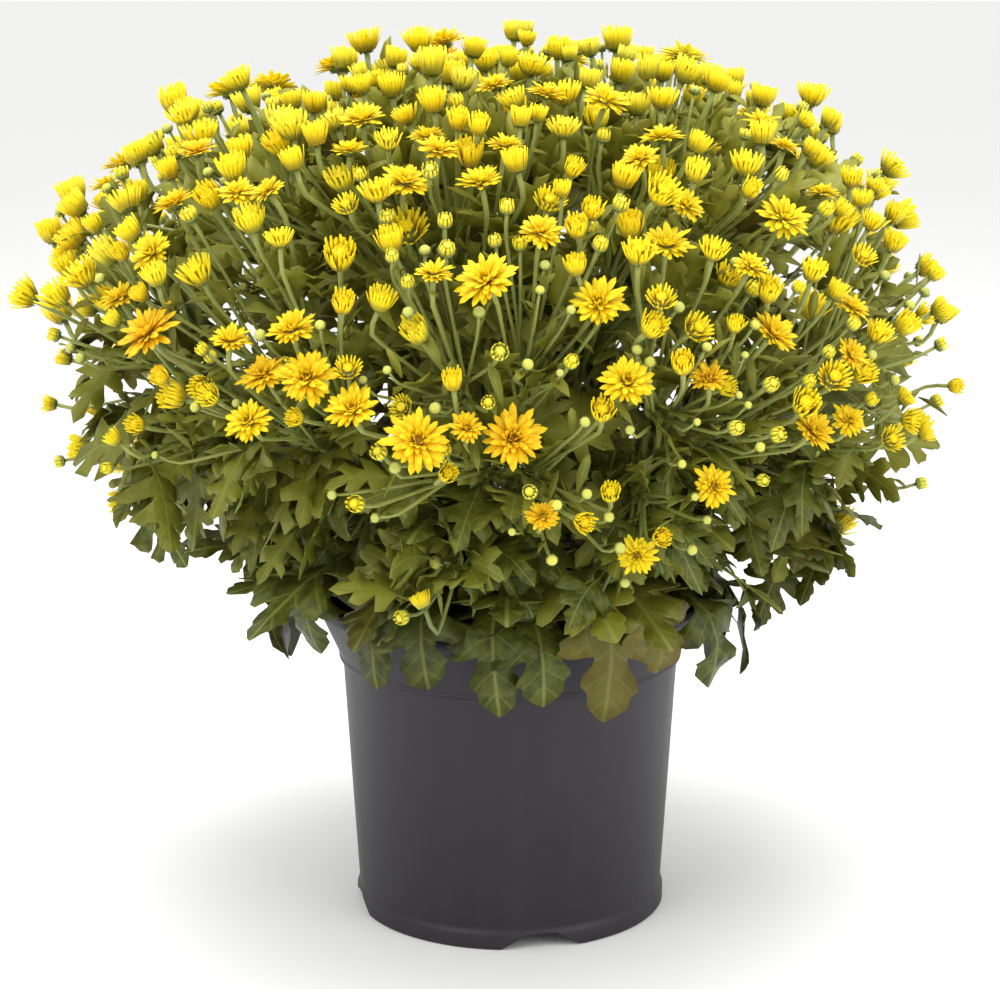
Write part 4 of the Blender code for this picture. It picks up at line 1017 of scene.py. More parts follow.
def disc_florets():
    """Disc florets: the golden dimple in the middle of a flower, matt and grainy; their dark olive-gold is
    partly painted shade of the dimple.
    """
    made, tree, shader = new_finish("Chrysanthemum disc florets", Roughness=0.8)
    spot = add_node(tree, "TexCoord").outputs["Object"]
    grain = add_node(tree, "TexNoise", {"Scale": 1500.0, "Detail": 2.0}, {"Vector": spot})
    # The dark olive-gold is the florets' own colour with painted shade of the dimple in it.
    wire(tree, shader, {"Base Color": colour_ramp(tree, grain, (0.3, "#80620e"), (0.7, "#b8901a"))})
    return made


def calyx_scales():
    """Calyx: overlapping leathery green scales with pale dry edges."""
    made, tree, shader = new_finish(
        "Chrysanthemum calyx", Roughness=0.55, Subsurface_Weight=0.05, Subsurface_Scale=0.002
    )
    place = add_node(tree, "SeparateXYZ", links={0: add_node(tree, "UVMap", {"uv_map": "flat"})})
    green = colour_ramp(tree, place.outputs["Y"], (0.0, "#56682a"), (0.6, "#74863a"), (1.0, "#a2a864"))
    spot = add_node(tree, "TexCoord").outputs["Object"]
    fleck = add_node(tree, "TexNoise", {"Scale": 900.0, "Detail": 3.0}, {"Vector": spot})
    mixed = add_node(
        tree, "Mix", {"data_type": "RGBA", "blend_type": "MULTIPLY", 0: 0.35}, {6: green, 7: fleck}
    )
    wire(tree, shader, {"Base Color": mixed})
    return made


def leaf_face(name, dark, light, vein, young, old, roughness):
    """A leaf's face: mottled green, with a pale midrib and side veins that run out into the lobes, and
    painted shade on leaves with a high tone.
    """
    made, tree, shader = new_finish(
        name, Roughness=roughness, Subsurface_Weight=0.06, Subsurface_Scale=0.002, Specular_IOR_Level=0.3
    )
    place = add_node(tree, "SeparateXYZ", links={0: add_node(tree, "UVMap", {"uv_map": "flat"})})
    tone = add_node(tree, "Attribute", {"attribute_name": "tone"}).outputs["Fac"]
    centred = add_node(tree, "Math", {"operation": "SUBTRACT", 1: 0.5}, {0: place.outputs["Y"]})
    aside = add_node(tree, "Math", {"operation": "ABSOLUTE"}, {0: centred})
    rib = add_node(
        tree, "MapRange", {"From Min": 0.004, "From Max": 0.012, "To Min": 0.8, "To Max": 0.0},
        {"Value": aside},
    )
    # A side vein leaves the midrib about every ninth of the leaf's length, at some 45 degrees.
    back = add_node(
        tree, "Math", {"operation": "MULTIPLY_ADD", 1: -0.95}, {0: aside, 2: place.outputs["X"]}
    )
    turns = add_node(tree, "Math", {"operation": "MULTIPLY", 1: 9.0}, {0: back})
    saw = add_node(tree, "Math", {"operation": "PINGPONG", 1: 0.5}, {0: turns})
    side = add_node(
        tree, "MapRange", {"From Min": 0.02, "From Max": 0.09, "To Min": 0.38, "To Max": 0.0}, {"Value": saw}
    )
    veins = add_node(tree, "Math", {"operation": "MAXIMUM"}, {0: rib, 1: side})
    # Mottling about 6 mm across.
    spot = add_node(tree, "TexCoord").outputs["Object"]
    mottle = add_node(tree, "TexNoise", {"Scale": 160.0, "Detail": 4.0}, {"Vector": spot})
    green = colour_ramp(tree, mottle, (0.3, dark), (0.7, light))
    youth = add_node(tree, "MapRange", {"From Max": 0.45, "To Min": 0.85, "To Max": 0.0}, {"Value": tone})
    fresh = add_node(tree, "Mix", {"data_type": "RGBA", 7: linear(young)}, {0: youth, 6: green})
    ageing = add_node(tree, "MapRange", {"From Min": 0.84, "To Max": 0.6}, {"Value": tone})
    aged = add_node(tree, "Mix", {"data_type": "RGBA", 7: linear(old)}, {0: ageing, 6: fresh})
    veined = add_node(tree, "Mix", {"data_type": "RGBA", 7: linear(vein)}, {0: veins, 6: aged})
    # Painted shade: leaves with a tone of 0.5 to 0.8, mostly those low under the crown, are multiplied
    # darker.
    depth = add_node(
        tree, "MapRange", {"From Min": 0.5, "From Max": 0.8, "To Min": 1.0, "To Max": 0.62}, {"Value": tone}
    )
    shaded = add_node(
        tree, "Mix", {"data_type": "RGBA", "blend_type": "MULTIPLY", 0: 1.0}, {6: veined, 7: depth}
    )
    bump = add_node(
        tree, "Bump", {"Strength": 0.5, "Distance": 0.0004, "invert": True}, {"Height": veins}
    )
    wire(tree, shader, {"Base Color": shaded, "Normal": bump})
    return made


def green_stem():
    """Stems and stalks: mottled olive green, browner where they come out of the mix."""
    made, tree, shader = new_finish(
        "Chrysanthemum stems", Roughness=0.5, Subsurface_Weight=0.04, Subsurface_Scale=0.002
    )
    spot = add_node(tree, "TexCoord").outputs["Object"]
    place = add_node(tree, "SeparateXYZ", links={0: spot})
    rising = add_node(tree, "MapRange", {"From Min": 0.17, "From Max": 0.28}, {"Value": place.outputs["Z"]})
    green = colour_ramp(tree, rising, (0.0, "#5d5636"), (0.45, "#6c763a"), (1.0, "#929a4c"))
    fleck = add_node(tree, "TexNoise", {"Scale": 300.0, "Detail": 3.0}, {"Vector": spot})
    shade = add_node(tree, "MapRange", {"To Min": 0.75, "To Max": 1.1}, {"Value": fleck})
    mixed = add_node(
        tree, "Mix", {"data_type": "RGBA", "blend_type": "MULTIPLY", 0: 1.0}, {6: green, 7: shade}
    )
    wire(tree, shader, {"Base Color": mixed})
    return made


def moulded_plastic():
    """Moulded polypropylene: dark grey with a purple cast, satin, with faint flow marks."""
    made, tree, shader = new_finish("Moulded polypropylene", Specular_IOR_Level=0.42)
    spot = add_node(tree, "TexCoord").outputs["Object"]
    # Flow marks are drawn out upwards, about 12 mm apart round the pot.
    stretched = add_node(tree, "Mapping", {"Scale": (1.0, 1.0, 0.12)}, {"Vector": spot})
    marks = add_node(tree, "TexNoise", {"Scale": 80.0, "Detail": 5.0}, {"Vector": stretched})
    colour = colour_ramp(tree, marks, (0.3, "#1a161d"), (0.7, "#221e26"))
    shine = add_node(tree, "MapRange", {"To Min": 0.42, "To Max": 0.58}, {"Value": marks})
    # A fine moulded grain, about half a millimetre.
    grain = add_node(tree, "TexNoise", {"Scale": 1800.0, "Detail": 2.0}, {"Vector": spot})
    bump = add_node(tree, "Bump", {"Strength": 0.12, "Distance": 0.0002}, {"Height": grain})
    wire(tree, shader, {"Base Color": colour, "Roughness": shine, "Normal": bump})
    return made


def peat_mix():
    """Potting mix: damp dark peat with lighter bark flecks."""
    made, tree, shader = new_finish("Peat potting mix", Roughness=0.9)
    spot = add_node(tree, "TexCoord").outputs["Object"]
    lumps = add_node(tree, "TexNoise", {"Scale": 260.0, "Detail": 8.0}, {"Vector": spot})
    colour = colour_ramp(tree, lumps, (0.35, "#1d140e"), (0.55, "#332519"), (0.75, "#5a4532"))
    bump = add_node(tree, "Bump", {"Strength": 0.8, "Distance": 0.002}, {"Height": lumps})
    wire(tree, shader, {"Base Color": colour, "Normal": bump})
    return made


def picked(made):
    """Selects this object alone, makes it the active one, and returns it."""
    bpy.ops.object.select_all(action="DESELECT")
    made.select_set(True)
    bpy.context.view_layer.objects.active = made
    return made


def shaped(name, add, **settings):
    """A new object from a primitive operator, with this name, selected alone."""
    bpy.ops.object.select_all(action="DESELECT")
    add(**settings)
    made = bpy.context.object
    made.name = name
    return made


def put_in(name, data):
    """A new object with this data, in the scene and picked."""
    made = bpy.data.objects.new(name, data)
    bpy.context.scene.collection.objects.link(made)
    return picked(made)


def settle(made, node):
    """Makes a piece ride with the plant and stand for its node, whose solid it hides."""
    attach(made, "root")
    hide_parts(node)


def read(items, key, kind=float, width=1):
    """One property of every one of a mesh's items, as an array."""
    values = np.empty(len(items) * width, kind)
    items.foreach_get(key, values)
    return values


class Pattern:
    """A finished small shape, kept so that turned, sized or bent copies of it can be joined into a piece."""

    def __init__(self, made):
        mesh = made.data
        self.points = read(mesh.vertices, "co", width=3).reshape(-1, 3)
        self.corners = read(mesh.loops, "vertex_index", np.int32)
        self.sizes = read(mesh.polygons, "loop_total", np.int32)
        self.slots = read(mesh.polygons, "material_index", np.int32)
        if mesh.uv_layers:
            self.uv = read(mesh.uv_layers[0].data, "uv", width=2)
        else:
            self.uv = np.zeros(len(mesh.loops) * 2)
        bpy.data.objects.remove(made)


def joined(copies):
    """One pattern's worth of numbers from several (pattern, points, slot) copies."""
    made = object.__new__(Pattern)
    patterns, points, slots = zip(*copies)
    first = np.cumsum([0] + [len(part) for part in points])[:-1]
    made.points = np.vstack(points)
    made.corners = np.concatenate([pattern.corners + start for pattern, start in zip(patterns, first)])
    made.sizes = np.concatenate([pattern.sizes for pattern in patterns])
    made.slots = np.concatenate([pattern.slots + slot for pattern, slot in zip(patterns, slots)])
    made.uv = np.concatenate([pattern.uv for pattern in patterns])
    return made


def lay(name, copies, finishes, node):
    """Joins (pattern, points in plan millimetres, tone) copies into one piece that stands for a node."""
    whole = joined([(pattern, points, 0) for pattern, points, _ in copies])
    mesh = bpy.data.meshes.new(name)
    mesh.vertices.add(len(whole.points))
    mesh.vertices.foreach_set("co", ((whole.points + AXIS) * MM).ravel())
    mesh.loops.add(len(whole.corners))
    mesh.loops.foreach_set("vertex_index", whole.corners)
    mesh.polygons.add(len(whole.sizes))
    starts = np.concatenate([[0], np.cumsum(whole.sizes)[:-1]])
    mesh.polygons.foreach_set("loop_start", starts.astype(np.int32))
    mesh.polygons.foreach_set("material_index", whole.slots)
    mesh.update(calc_edges=True)
    mesh.uv_layers.new(name="flat").data.foreach_set("uv", whole.uv)
    tones = np.concatenate([np.full(len(points), tone) for _, points, tone in copies])
    mesh.attributes.new("tone", "FLOAT", "POINT").data.foreach_set("value", tones)
    mesh.shade_smooth()
    for finish in finishes:
        mesh.materials.append(finish)
    mesh.validate()
    settle(put_in(name, mesh), node)


def thicken(made, thickness, **settings):
    """Gives a flat shape its thickness, half of it on each side, and keeps it as a pattern."""
    thick = made.modifiers.new("Thickness", "SOLIDIFY")
    thick.thickness = thickness
    thick.offset = 0
    for key, value in settings.items():
        setattr(thick, key, value)
    bpy.ops.object.modifier_apply(modifier=thick.name)
    return Pattern(made)


def floret_pattern(name, cells, across, width, cup, droop, tip, blunt, thickness):
    """A ray floret one unit long: along X from its narrow foot to its round tip, its inner face up."""
    made = shaped(name, bpy.ops.mesh.primitive_grid_add, x_subdivisions=cells, y_subdivisions=across, size=2)
    for vert in made.data.vertices:
        along, beside = (vert.co.x + 1) / 2, vert.co.y
        half = width * (0.5 + 0.5 * math.sin(math.pi * 0.62 * along)) * (1 - blunt * along**4)
        reach = along - tip * beside * beside * along**3
        height = cup * beside * beside * half + droop * (along - along * along * 1.6)
        vert.co = (reach, beside * half, height)
    for uv in made.data.uv_layers[0].uv:
        uv.vector = uv.vector.yx
    return thicken(made, thickness)


def turned_about(points, lean, angle, foot, rise, roll=0.0):
    """Points of a floret that leans this far from the flower's axis, set at this angle round it."""
    along, beside, up = points.T
    cos_roll, sin_roll = math.cos(roll), math.sin(roll)
    beside, up = beside * cos_roll - up * sin_roll, beside * sin_roll + up * cos_roll
    out = along * math.sin(lean) - up * math.cos(lean) + foot
    height = along * math.cos(lean) + up * math.sin(lean) + rise
    cos, sin = math.cos(angle), math.sin(angle)
    return np.column_stack([out * cos - beside * sin, out * sin + beside * cos, height])


# How far florets vary in a loose flower: in length, in lean in degrees, in place along a row, and in roll
LENGTH_SPREAD = 0.07
LEAN_SPREAD = 5
PLACE_SPREAD = 0.1
ROLL_SPREAD = 0.12


def flower_pattern(rows, draw, under, looseness):
    """Rows of florets round an axis: (floret, count, length, lean in degrees, foot radius, height, slot)."""
    copies = list(under)
    for floret, count, length, lean, foot, rise, slot in rows:
        start = draw.uniform(0, 6.28)
        for k in range(count):
            size = length * (1 + LENGTH_SPREAD * looseness * draw.normal())
            tilt = math.radians(lean + LEAN_SPREAD * looseness * draw.normal())
            angle = start + 2 * math.pi * (k + PLACE_SPREAD * looseness * draw.normal()) / count
            roll = draw.normal(0, ROLL_SPREAD)
            copies.append((floret, turned_about(floret.points * size, tilt, angle, foot, rise, roll), slot))
    return joined(copies)


def body_pattern(name, sides, *profile):
    """A small turned body, from its foot up to its closed top, through (radius, height) rings."""
    made = shaped(
        name, bpy.ops.mesh.primitive_circle_add, vertices=sides, radius=profile[0][0], fill_type="NGON"
    )
    bpy.ops.object.mode_set(mode="EDIT")
    bpy.ops.mesh.select_all(action="SELECT")
    for (radius, height), (wider, higher) in zip(profile, profile[1:]):
        bpy.ops.mesh.extrude_region_move(TRANSFORM_OT_translate={"value": (0, 0, higher - height)})
        ratio = wider / radius
        bpy.ops.transform.resize(value=(ratio, ratio, 1), center_override=(0, 0, higher))
    close_up()
    if not made.data.uv_layers:
        made.data.uv_layers.new(name="flat")
    top = profile[-1][1]
    for corner, uv in zip(made.data.loops, made.data.uv_layers[0].uv):
        uv.vector = (0.5, 0.7 * made.data.vertices[corner.vertex_index].co.z / top)
    return Pattern(made)


def close_up():
    """Turns all faces of the shape being edited outwards, and ends the editing."""
    bpy.ops.mesh.select_all(action="SELECT")
    bpy.ops.mesh.normals_make_consistent(inside=False)
    bpy.ops.object.mode_set(mode="OBJECT")


# The finishes of a head, in order, and how far the rows of each shape lean, in degrees
YELLOW, GREEN, BROWN = 0, 1, 2
OPEN_LEANS = (0, 7, -8, 3)
HALF_LEANS = (12, 15, 18, 22, 28, 36)
CRACKED_SHAPES = 3
BUD_SHAPES = 2


def make_flowers(draw):
    """The flower shapes, in radii, each on its base: open, half open, cracked and closed, a few of each."""
    ray = floret_pattern("Ray floret", 3, 2, 0.135, 0.30, 0.08, 0.14, 0.25, 0.022)
    inner = floret_pattern("Inner floret", 2, 2, 0.17, 0.5, -0.05, 0.14, 0.25, 0.03)
    upright = floret_pattern("Upright floret", 2, 1, 0.115, 0.0, -0.10, 0.0, 0.62, 0.03)
    short = floret_pattern("Short floret", 1, 1, 0.125, 0.0, -0.06, 0.0, 0.45, 0.03)
    folded = floret_pattern("Folded floret", 2, 1, 0.20, 0.0, -0.22, 0.0, 0.55, 0.04)
    bract = floret_pattern("Calyx scale", 1, 1, 0.24, 0.0, 0.0, 0.0, 0.7, 0.07)
    cup = body_pattern("Calyx cup", 9, (0.14, -0.06), (0.36, 0.04), (0.53, 0.18), (0.58, 0.32), (0.3, 0.36))
    open_cup = body_pattern(
        "Open calyx", 9, (0.10, -0.04), (0.24, 0.04), (0.34, 0.15), (0.34, 0.26), (0.1, 0.3)
    )
    disc = body_pattern("Flower disc", 7, (0.16, 0.0), (0.20, 0.05), (0.08, 0.08))
    ball = body_pattern(
        "Bud", 10, (0.2, 0.0), (0.72, 0.3), (0.9, 0.8), (0.78, 1.25), (0.42, 1.55), (0.25, 1.5)
    )
    flowers = {"open": [], "half": [], "cracked": [], "bud": []}
    for flat in OPEN_LEANS:
        under = [(open_cup, open_cup.points, GREEN), (disc, disc.points + [0, 0, 0.30], BROWN)]
        rows = [
            (bract, 8, 0.22, 40, 0.24, 0.04, GREEN),
            (ray, 19, 0.90, 80 + flat, 0.13, 0.22, YELLOW),
            (ray, 16, 0.86, 64 + flat, 0.13, 0.25, YELLOW),
            (ray, 13, 0.74, 47 + flat / 2, 0.13, 0.28, YELLOW),
            (inner, 11, 0.54, 33, 0.14, 0.30, YELLOW),
            (inner, 8, 0.37, 18, 0.11, 0.32, YELLOW),
        ]
        flowers["open"].append(flower_pattern(rows, draw, under, 1.5))
    for lean in HALF_LEANS:
        under = [(cup, cup.points, GREEN), (disc, disc.points * [2.2, 2.2, 1.5] + [0, 0, 1.0], YELLOW)]
        rows = [
            (bract, 7, 0.40, 30, 0.36, 0.00, GREEN),
            (upright, 20, 1.24, lean, 0.52, 0.18, YELLOW),
            (short, 12, 1.17, lean * 0.6, 0.38, 0.22, YELLOW),
            (short, 7, 1.10, lean * 0.2, 0.20, 0.26, YELLOW),
        ]
        flowers["half"].append(flower_pattern(rows, draw, under, 0.7))
    for k in range(CRACKED_SHAPES):
        under = [
            (cup, cup.points * [1.45, 1.45, 1.2], GREEN), (disc, disc.points * 2.4 + [0, 0, 1.2], YELLOW),
        ]
        rows = [
            (bract, 7, 0.45, 28, 0.52, 0.06, GREEN),
            (folded, 11, 1.12, 12 - 5 * k, 0.70, 0.30, YELLOW),
            (folded, 8, 1.02, -8 - 4 * k, 0.56, 0.38, YELLOW),
        ]
        flowers["cracked"].append(flower_pattern(rows, draw, under, 0.6))
    for _ in range(BUD_SHAPES):
        rows = [(bract, 7, 0.90, 24, 0.60, 0.0, GREEN), (bract, 7, 0.72, 2, 0.93, 0.36, GREEN)]
        flowers["bud"].append(flower_pattern(rows, draw, [(ball, ball.points, YELLOW)], 0.6))
    return flowers


# Cups stand taller than the solids' own, and their petals just touch where heads are close
FLOWER_STRETCH = {
    "open": (1.04, 1.04, 1.0), "half": (1.18, 1.18, 1.2), "cracked": (1.1, 1.1, 1.15), "bud": (1, 1, 1),
}
# The mean tone of each kind of head below, what it gains by the top of the crown as painted light from above,
# and its spread
HEAD_TONES = {
    "open": (0.28, 0.22, 0.08), "half": (0.52, 0.06, 0.07), "cracked": (0.72, 0.0, 0.06),
    "bud": (0.97, 0.0, 0.03),
}
TONES_RISE_FROM = 330
TONES_RISE_OVER = 130


def head_copy(head, flowers, draw):
    """A flower shape at this head: its pattern, points and tone."""
    patterns = flowers[head.kind]
    pattern = patterns[int(draw.integers(len(patterns)))]
    frame = np.column_stack([head.towards(0), head.towards(math.pi / 2), head.axis])
    points = (pattern.points * FLOWER_STRETCH[head.kind] * head.radius) @ frame.T + head.base
    # Heads higher on the crown get a lighter, more lemon tone: painted light from above.
    high = np.clip((head.middle[2] - TONES_RISE_FROM) / TONES_RISE_OVER, 0, 1)
    low_tone, top_light_gain, spread_of = HEAD_TONES[head.kind]
    return pattern, points, float(np.clip(draw.normal(low_tone + top_light_gain * high, spread_of), 0, 1))


# Chrysanthemum leaves: half of each outline, as the place along the length and the half width in lengths.
# The lobes point forwards and end bluntly, with deep narrow bays between them and a rounded tooth or two.
BROAD_LOBES = (
    (0.00, 0.012), (0.20, 0.014), (0.26, 0.05), (0.30, 0.14), (0.335, 0.24), (0.375, 0.34), (0.425, 0.405),
    (0.465, 0.385), (0.505, 0.425), (0.545, 0.40), (0.56, 0.335), (0.55, 0.25), (0.525, 0.16), (0.52, 0.115),
    (0.565, 0.13), (0.615, 0.20), (0.66, 0.265), (0.705, 0.295), (0.735, 0.265), (0.775, 0.27), (0.79, 0.21),
    (0.765, 0.135), (0.75, 0.09), (0.79, 0.09), (0.83, 0.13), (0.87, 0.145), (0.895, 0.11), (0.935, 0.11),
    (0.965, 0.065), (0.99, 0.03),
)
HANGING_LOBES = (
    (0.00, 0.010), (0.15, 0.011), (0.22, 0.05), (0.28, 0.14), (0.325, 0.23), (0.385, 0.31), (0.435, 0.295),
    (0.485, 0.33), (0.51, 0.285), (0.495, 0.20), (0.465, 0.12), (0.47, 0.085), (0.52, 0.105), (0.58, 0.17),
    (0.645, 0.235), (0.69, 0.22), (0.735, 0.23), (0.745, 0.17), (0.72, 0.105), (0.715, 0.075), (0.76, 0.08),
    (0.815, 0.115), (0.86, 0.125), (0.885, 0.095), (0.935, 0.09), (0.97, 0.05), (0.99, 0.02),
)
PLAIN_LOBES = (
    (0.00, 0.014), (0.25, 0.018), (0.38, 0.27), (0.51, 0.37), (0.50, 0.09), (0.69, 0.28), (0.80, 0.23),
    (0.73, 0.075), (0.90, 0.10),
)
MIDDLE_LEAF = ((0, 0.015), (0.25, 0.02), (0.50, 0.33), (0.74, 0.22))
BRACT_LEAF = ((0, 0.03), (0.35, 0.12), (0.7, 0.10))
# The outline of the long-stalked leaves, whose stalk takes this share of their length
STALK_SHARE = 0.36
LONG_STALKED_LOBES = ((0.0, (1 - STALK_SHARE) * BROAD_LOBES[0][1]),) + tuple(
    (STALK_SHARE + (1 - STALK_SHARE) * along, (1 - STALK_SHARE) * half) for along, half in BROAD_LOBES
)
# Where a leaf is cut so that it can bend: beside its rib, and along it
FINE_CUTS = (0, 0.12, -0.12), (0.2, 0.38, 0.56, 0.74, 0.9)
COARSE_CUTS = (0,), (0.3, 0.62)
LEAF_THICKNESS = 0.45


def leaf_patterns_of(name, outline, widths, beside_cuts, along_cuts):
    """Flat leaves one unit long, one of each width, cut so that they can bend, each with two faces."""
    made = []
    for width in widths:
        right = [(x, y * width, 0) for x, y in outline]
        corners = right + [(1, 0, 0)] + [(x, -y, 0) for x, y, _ in reversed(right)]
        mesh = bpy.data.meshes.new(name)
        mesh.from_pydata(corners, [], [tuple(range(len(corners)))])
        leaf = put_in(name, mesh)
        bpy.ops.object.mode_set(mode="EDIT")
        cuts = [((0, y, 0), (0, 1, 0)) for y in beside_cuts] + [((x, 0, 0), (1, 0, 0)) for x in along_cuts]
        for place, across in cuts:
            bpy.ops.mesh.select_all(action="SELECT")
            bpy.ops.mesh.bisect(plane_co=place, plane_no=across)
        bpy.ops.mesh.select_all(action="SELECT")
        bpy.ops.mesh.quads_convert_to_tris(quad_method="BEAUTY", ngon_method="BEAUTY")
        bpy.ops.object.mode_set(mode="OBJECT")
        layer = mesh.uv_layers.new(name="flat")
        for corner, uv in zip(mesh.loops, layer.uv):
            place = mesh.vertices[corner.vertex_index].co
            uv.vector = (place.x, place.y + 0.5)
        # Two units thick, so that a point's height tells the upper face from the lower one.
        made.append(thicken(leaf, 2, material_offset=1))
    return made


def bent_leaf(pattern, leaf, draw):
    """The pattern's points, bent along this leaf's rib, with its lobes curled down and its edge waved."""
    along, beside, face = pattern.points.T
    rest = 1 - along
    rib = np.outer(rest**2, leaf.start) + np.outer(2 * rest * along, leaf.turn) + np.outer(along**2, leaf.tip)
    way = np.outer(rest, leaf.turn - leaf.start) + np.outer(along, leaf.tip - leaf.turn)
    way /= np.linalg.norm(way, axis=1)[:, None]
    lift = np.cross(way, leaf.side)
    depth = draw.uniform(0.10, 0.30)
    wave = depth * np.sin(along * draw.uniform(14, 24) + np.sign(beside) * draw.uniform(0, 3))
    up = np.abs(beside) * (leaf.fold + wave) - draw.uniform(0.4, 1.6) * beside**2
    up = up + face * LEAF_THICKNESS / 2 / leaf.length
    return rib + (np.outer(beside, leaf.side) + lift * up[:, None]) * leaf.length


def smooth_line(points, step=13.0):
    """A rounded line through points, with a point about every step, and each point's place from 0 to 1."""
    points = np.array(points, float)
    if len(points) == 2:
        count = max(2, math.ceil(np.linalg.norm(points[1] - points[0]) / step / 2))
        places = np.linspace(0, 1, count + 1)
        return points[0] + (points[1] - points[0]) * places[:, None], places
    padded = np.vstack([2 * points[0] - points[1], points, 2 * points[-1] - points[-2]])
    lengths = np.linalg.norm(np.diff(points, axis=0), axis=1)
    line = [points[:1]]
    for k, length in enumerate(lengths):
        a, b, c, d = padded[k : k + 4]
        count = max(2, math.ceil(length / step))
        t = (np.arange(1, count + 1) / count)[:, None]
        tangent_b, tangent_c = (c - a) / 2, (d - b) / 2
        tangent_b = tangent_b * min(1, length / np.linalg.norm(tangent_b))
        tangent_c = tangent_c * min(1, length / np.linalg.norm(tangent_c))
        line.append(
            (2 * t**3 - 3 * t**2 + 1) * b + (t**3 - 2 * t**2 + t) * tangent_b
            + (3 * t**2 - 2 * t**3) * c + (t**3 - t**2) * tangent_c
        )
    line = np.vstack(line)
    run = np.concatenate([[0], np.cumsum(np.linalg.norm(np.diff(line, axis=0), axis=1))])
    return line, run / run[-1]


# Points of a mesh that are this close, in metres, become one
WELD = 0.00002


def tubes(name, lines, finish, node):
    """Round stems along (points, radii from the start to the end) lines, as one mesh piece."""
    curve = bpy.data.curves.new(name, "CURVE")
    curve.dimensions = "3D"
    curve.bevel_depth = MM
    curve.bevel_resolution = 1
    curve.use_fill_caps = True
    for points, radii in lines:
        line, places = smooth_line(points)
        widths = np.interp(places, np.linspace(0, 1, len(radii)), radii)
        spline = curve.splines.new("POLY")
        spline.points.add(len(line) - 1)
        spline.points.foreach_set("co", np.column_stack([(line + AXIS) * MM, np.ones(len(line))]).ravel())
        spline.points.foreach_set("radius", widths)
    put_in(name, curve)
    bpy.ops.object.convert(target="MESH")
    made = bpy.context.object
    bpy.ops.object.mode_set(mode="EDIT")
    bpy.ops.mesh.select_all(action="SELECT")
    bpy.ops.mesh.remove_doubles(threshold=WELD)
    bpy.ops.object.mode_set(mode="OBJECT")
    made.data.materials.clear()
    made.data.materials.append(finish)
    bpy.ops.object.shade_smooth()
    settle(made, node)


# The pot's section from the middle of its floor, up its wall and over its lip, then down outside and in again
INNER_LIP = BAND_TOP_RADIUS - WALL + 0.6
INNER_FOOT = FOOT_RADIUS - FOOT_WALL
POT_SECTION = (
    (0.5, FLOOR_TOP), (BODY_BOTTOM_RADIUS - WALL, FLOOR_TOP), (BODY_TOP_RADIUS - WALL, RIDGE_HEIGHT - 1),
    (BAND_TOP_RADIUS - WALL, LIP_BOTTOM - 1), (INNER_LIP, POT_HEIGHT - 1.0),
    (INNER_LIP + 0.6, POT_HEIGHT - 0.2), (INNER_LIP + 1.6, POT_HEIGHT), (RIM_RADIUS - 1.6, POT_HEIGHT),
    (RIM_RADIUS - 0.6, POT_HEIGHT - 0.3), (RIM_RADIUS, POT_HEIGHT - 1.3),
    (RIM_RADIUS - 0.2, LIP_BOTTOM + 0.8), (RIM_RADIUS - 0.7, LIP_BOTTOM + 0.1),
    (BAND_TOP_RADIUS + 0.7, LIP_BOTTOM - 0.2), (BAND_TOP_RADIUS, LIP_BOTTOM - 1.0),
    (RIDGE_RADIUS + 1.0, RIDGE_HEIGHT + 3.6), (RIDGE_RADIUS + 0.5, RIDGE_HEIGHT + 1.9),
    (RIDGE_RADIUS + 0.75, RIDGE_HEIGHT + 1.0), (RIDGE_RADIUS + 0.7, RIDGE_HEIGHT - 0.4),
    (RIDGE_RADIUS, RIDGE_HEIGHT - 1.5), (BODY_TOP_RADIUS + 0.2, RIDGE_HEIGHT - 2.0),
    (BODY_TOP_RADIUS - 0.2, RIDGE_HEIGHT - 3.4), (BODY_BOTTOM_RADIUS + 0.1, GROOVE_HEIGHT + 2.2),
    (BODY_BOTTOM_RADIUS - 0.3, GROOVE_HEIGHT + 0.6), (BODY_BOTTOM_RADIUS, GROOVE_HEIGHT - 1.2),
    (FOOT_RADIUS - 0.4, GROOVE_HEIGHT - 2.4), (FOOT_RADIUS, GROOVE_HEIGHT - 3.4), (FOOT_RADIUS, 0.5),
    (FOOT_RADIUS - 0.5, 0), (INNER_FOOT, 0), (INNER_FOOT - 1.2, FLOOR_BOTTOM), (0.5, FLOOR_BOTTOM),
)
POT_STEPS = 144
SHARP_FROM = math.radians(38)
MIDDLE_DRAIN = (6.0, 0.0)
DRAIN_DEPTH = 8


def make_pot(finish):
    """The pot, turned from the same profile as its solid but round, with soft edges, cut by its notches."""
    mesh = bpy.data.meshes.new("pot_shell")
    corners = [(radius * MM, 0, height * MM) for radius, height in POT_SECTION]
    mesh.from_pydata(corners, [(k, k + 1) for k in range(len(corners) - 1)], [])
    made = put_in("pot_shell", mesh)
    bpy.ops.object.mode_set(mode="EDIT")
    bpy.ops.mesh.select_all(action="SELECT")
    bpy.ops.mesh.spin(steps=POT_STEPS, angle=2 * math.pi, center=(0, 0, 0), axis=(0, 0, 1))
    bpy.ops.mesh.select_all(action="SELECT")
    bpy.ops.mesh.remove_doubles(threshold=WELD)
    bpy.ops.mesh.select_all(action="DESELECT")
    bpy.ops.mesh.select_non_manifold()
    bpy.ops.mesh.edge_face_add()
    close_up()
    for k in range(NOTCHES):
        angle = FIRST_NOTCH_ANGLE + k * 2 * math.pi / NOTCHES
        cut_out(made, notch_block(angle))
        cut_out(made, drain_block((DRAIN_CIRCLE * math.cos(angle), DRAIN_CIRCLE * math.sin(angle))))
    cut_out(made, drain_block(MIDDLE_DRAIN))
    for vert in made.data.vertices:
        vert.co += Vector(AXIS * MM)
    made.data.materials.append(finish)
    picked(made)
    bpy.ops.object.shade_smooth_by_angle(angle=SHARP_FROM)
    settle(made, "pot")


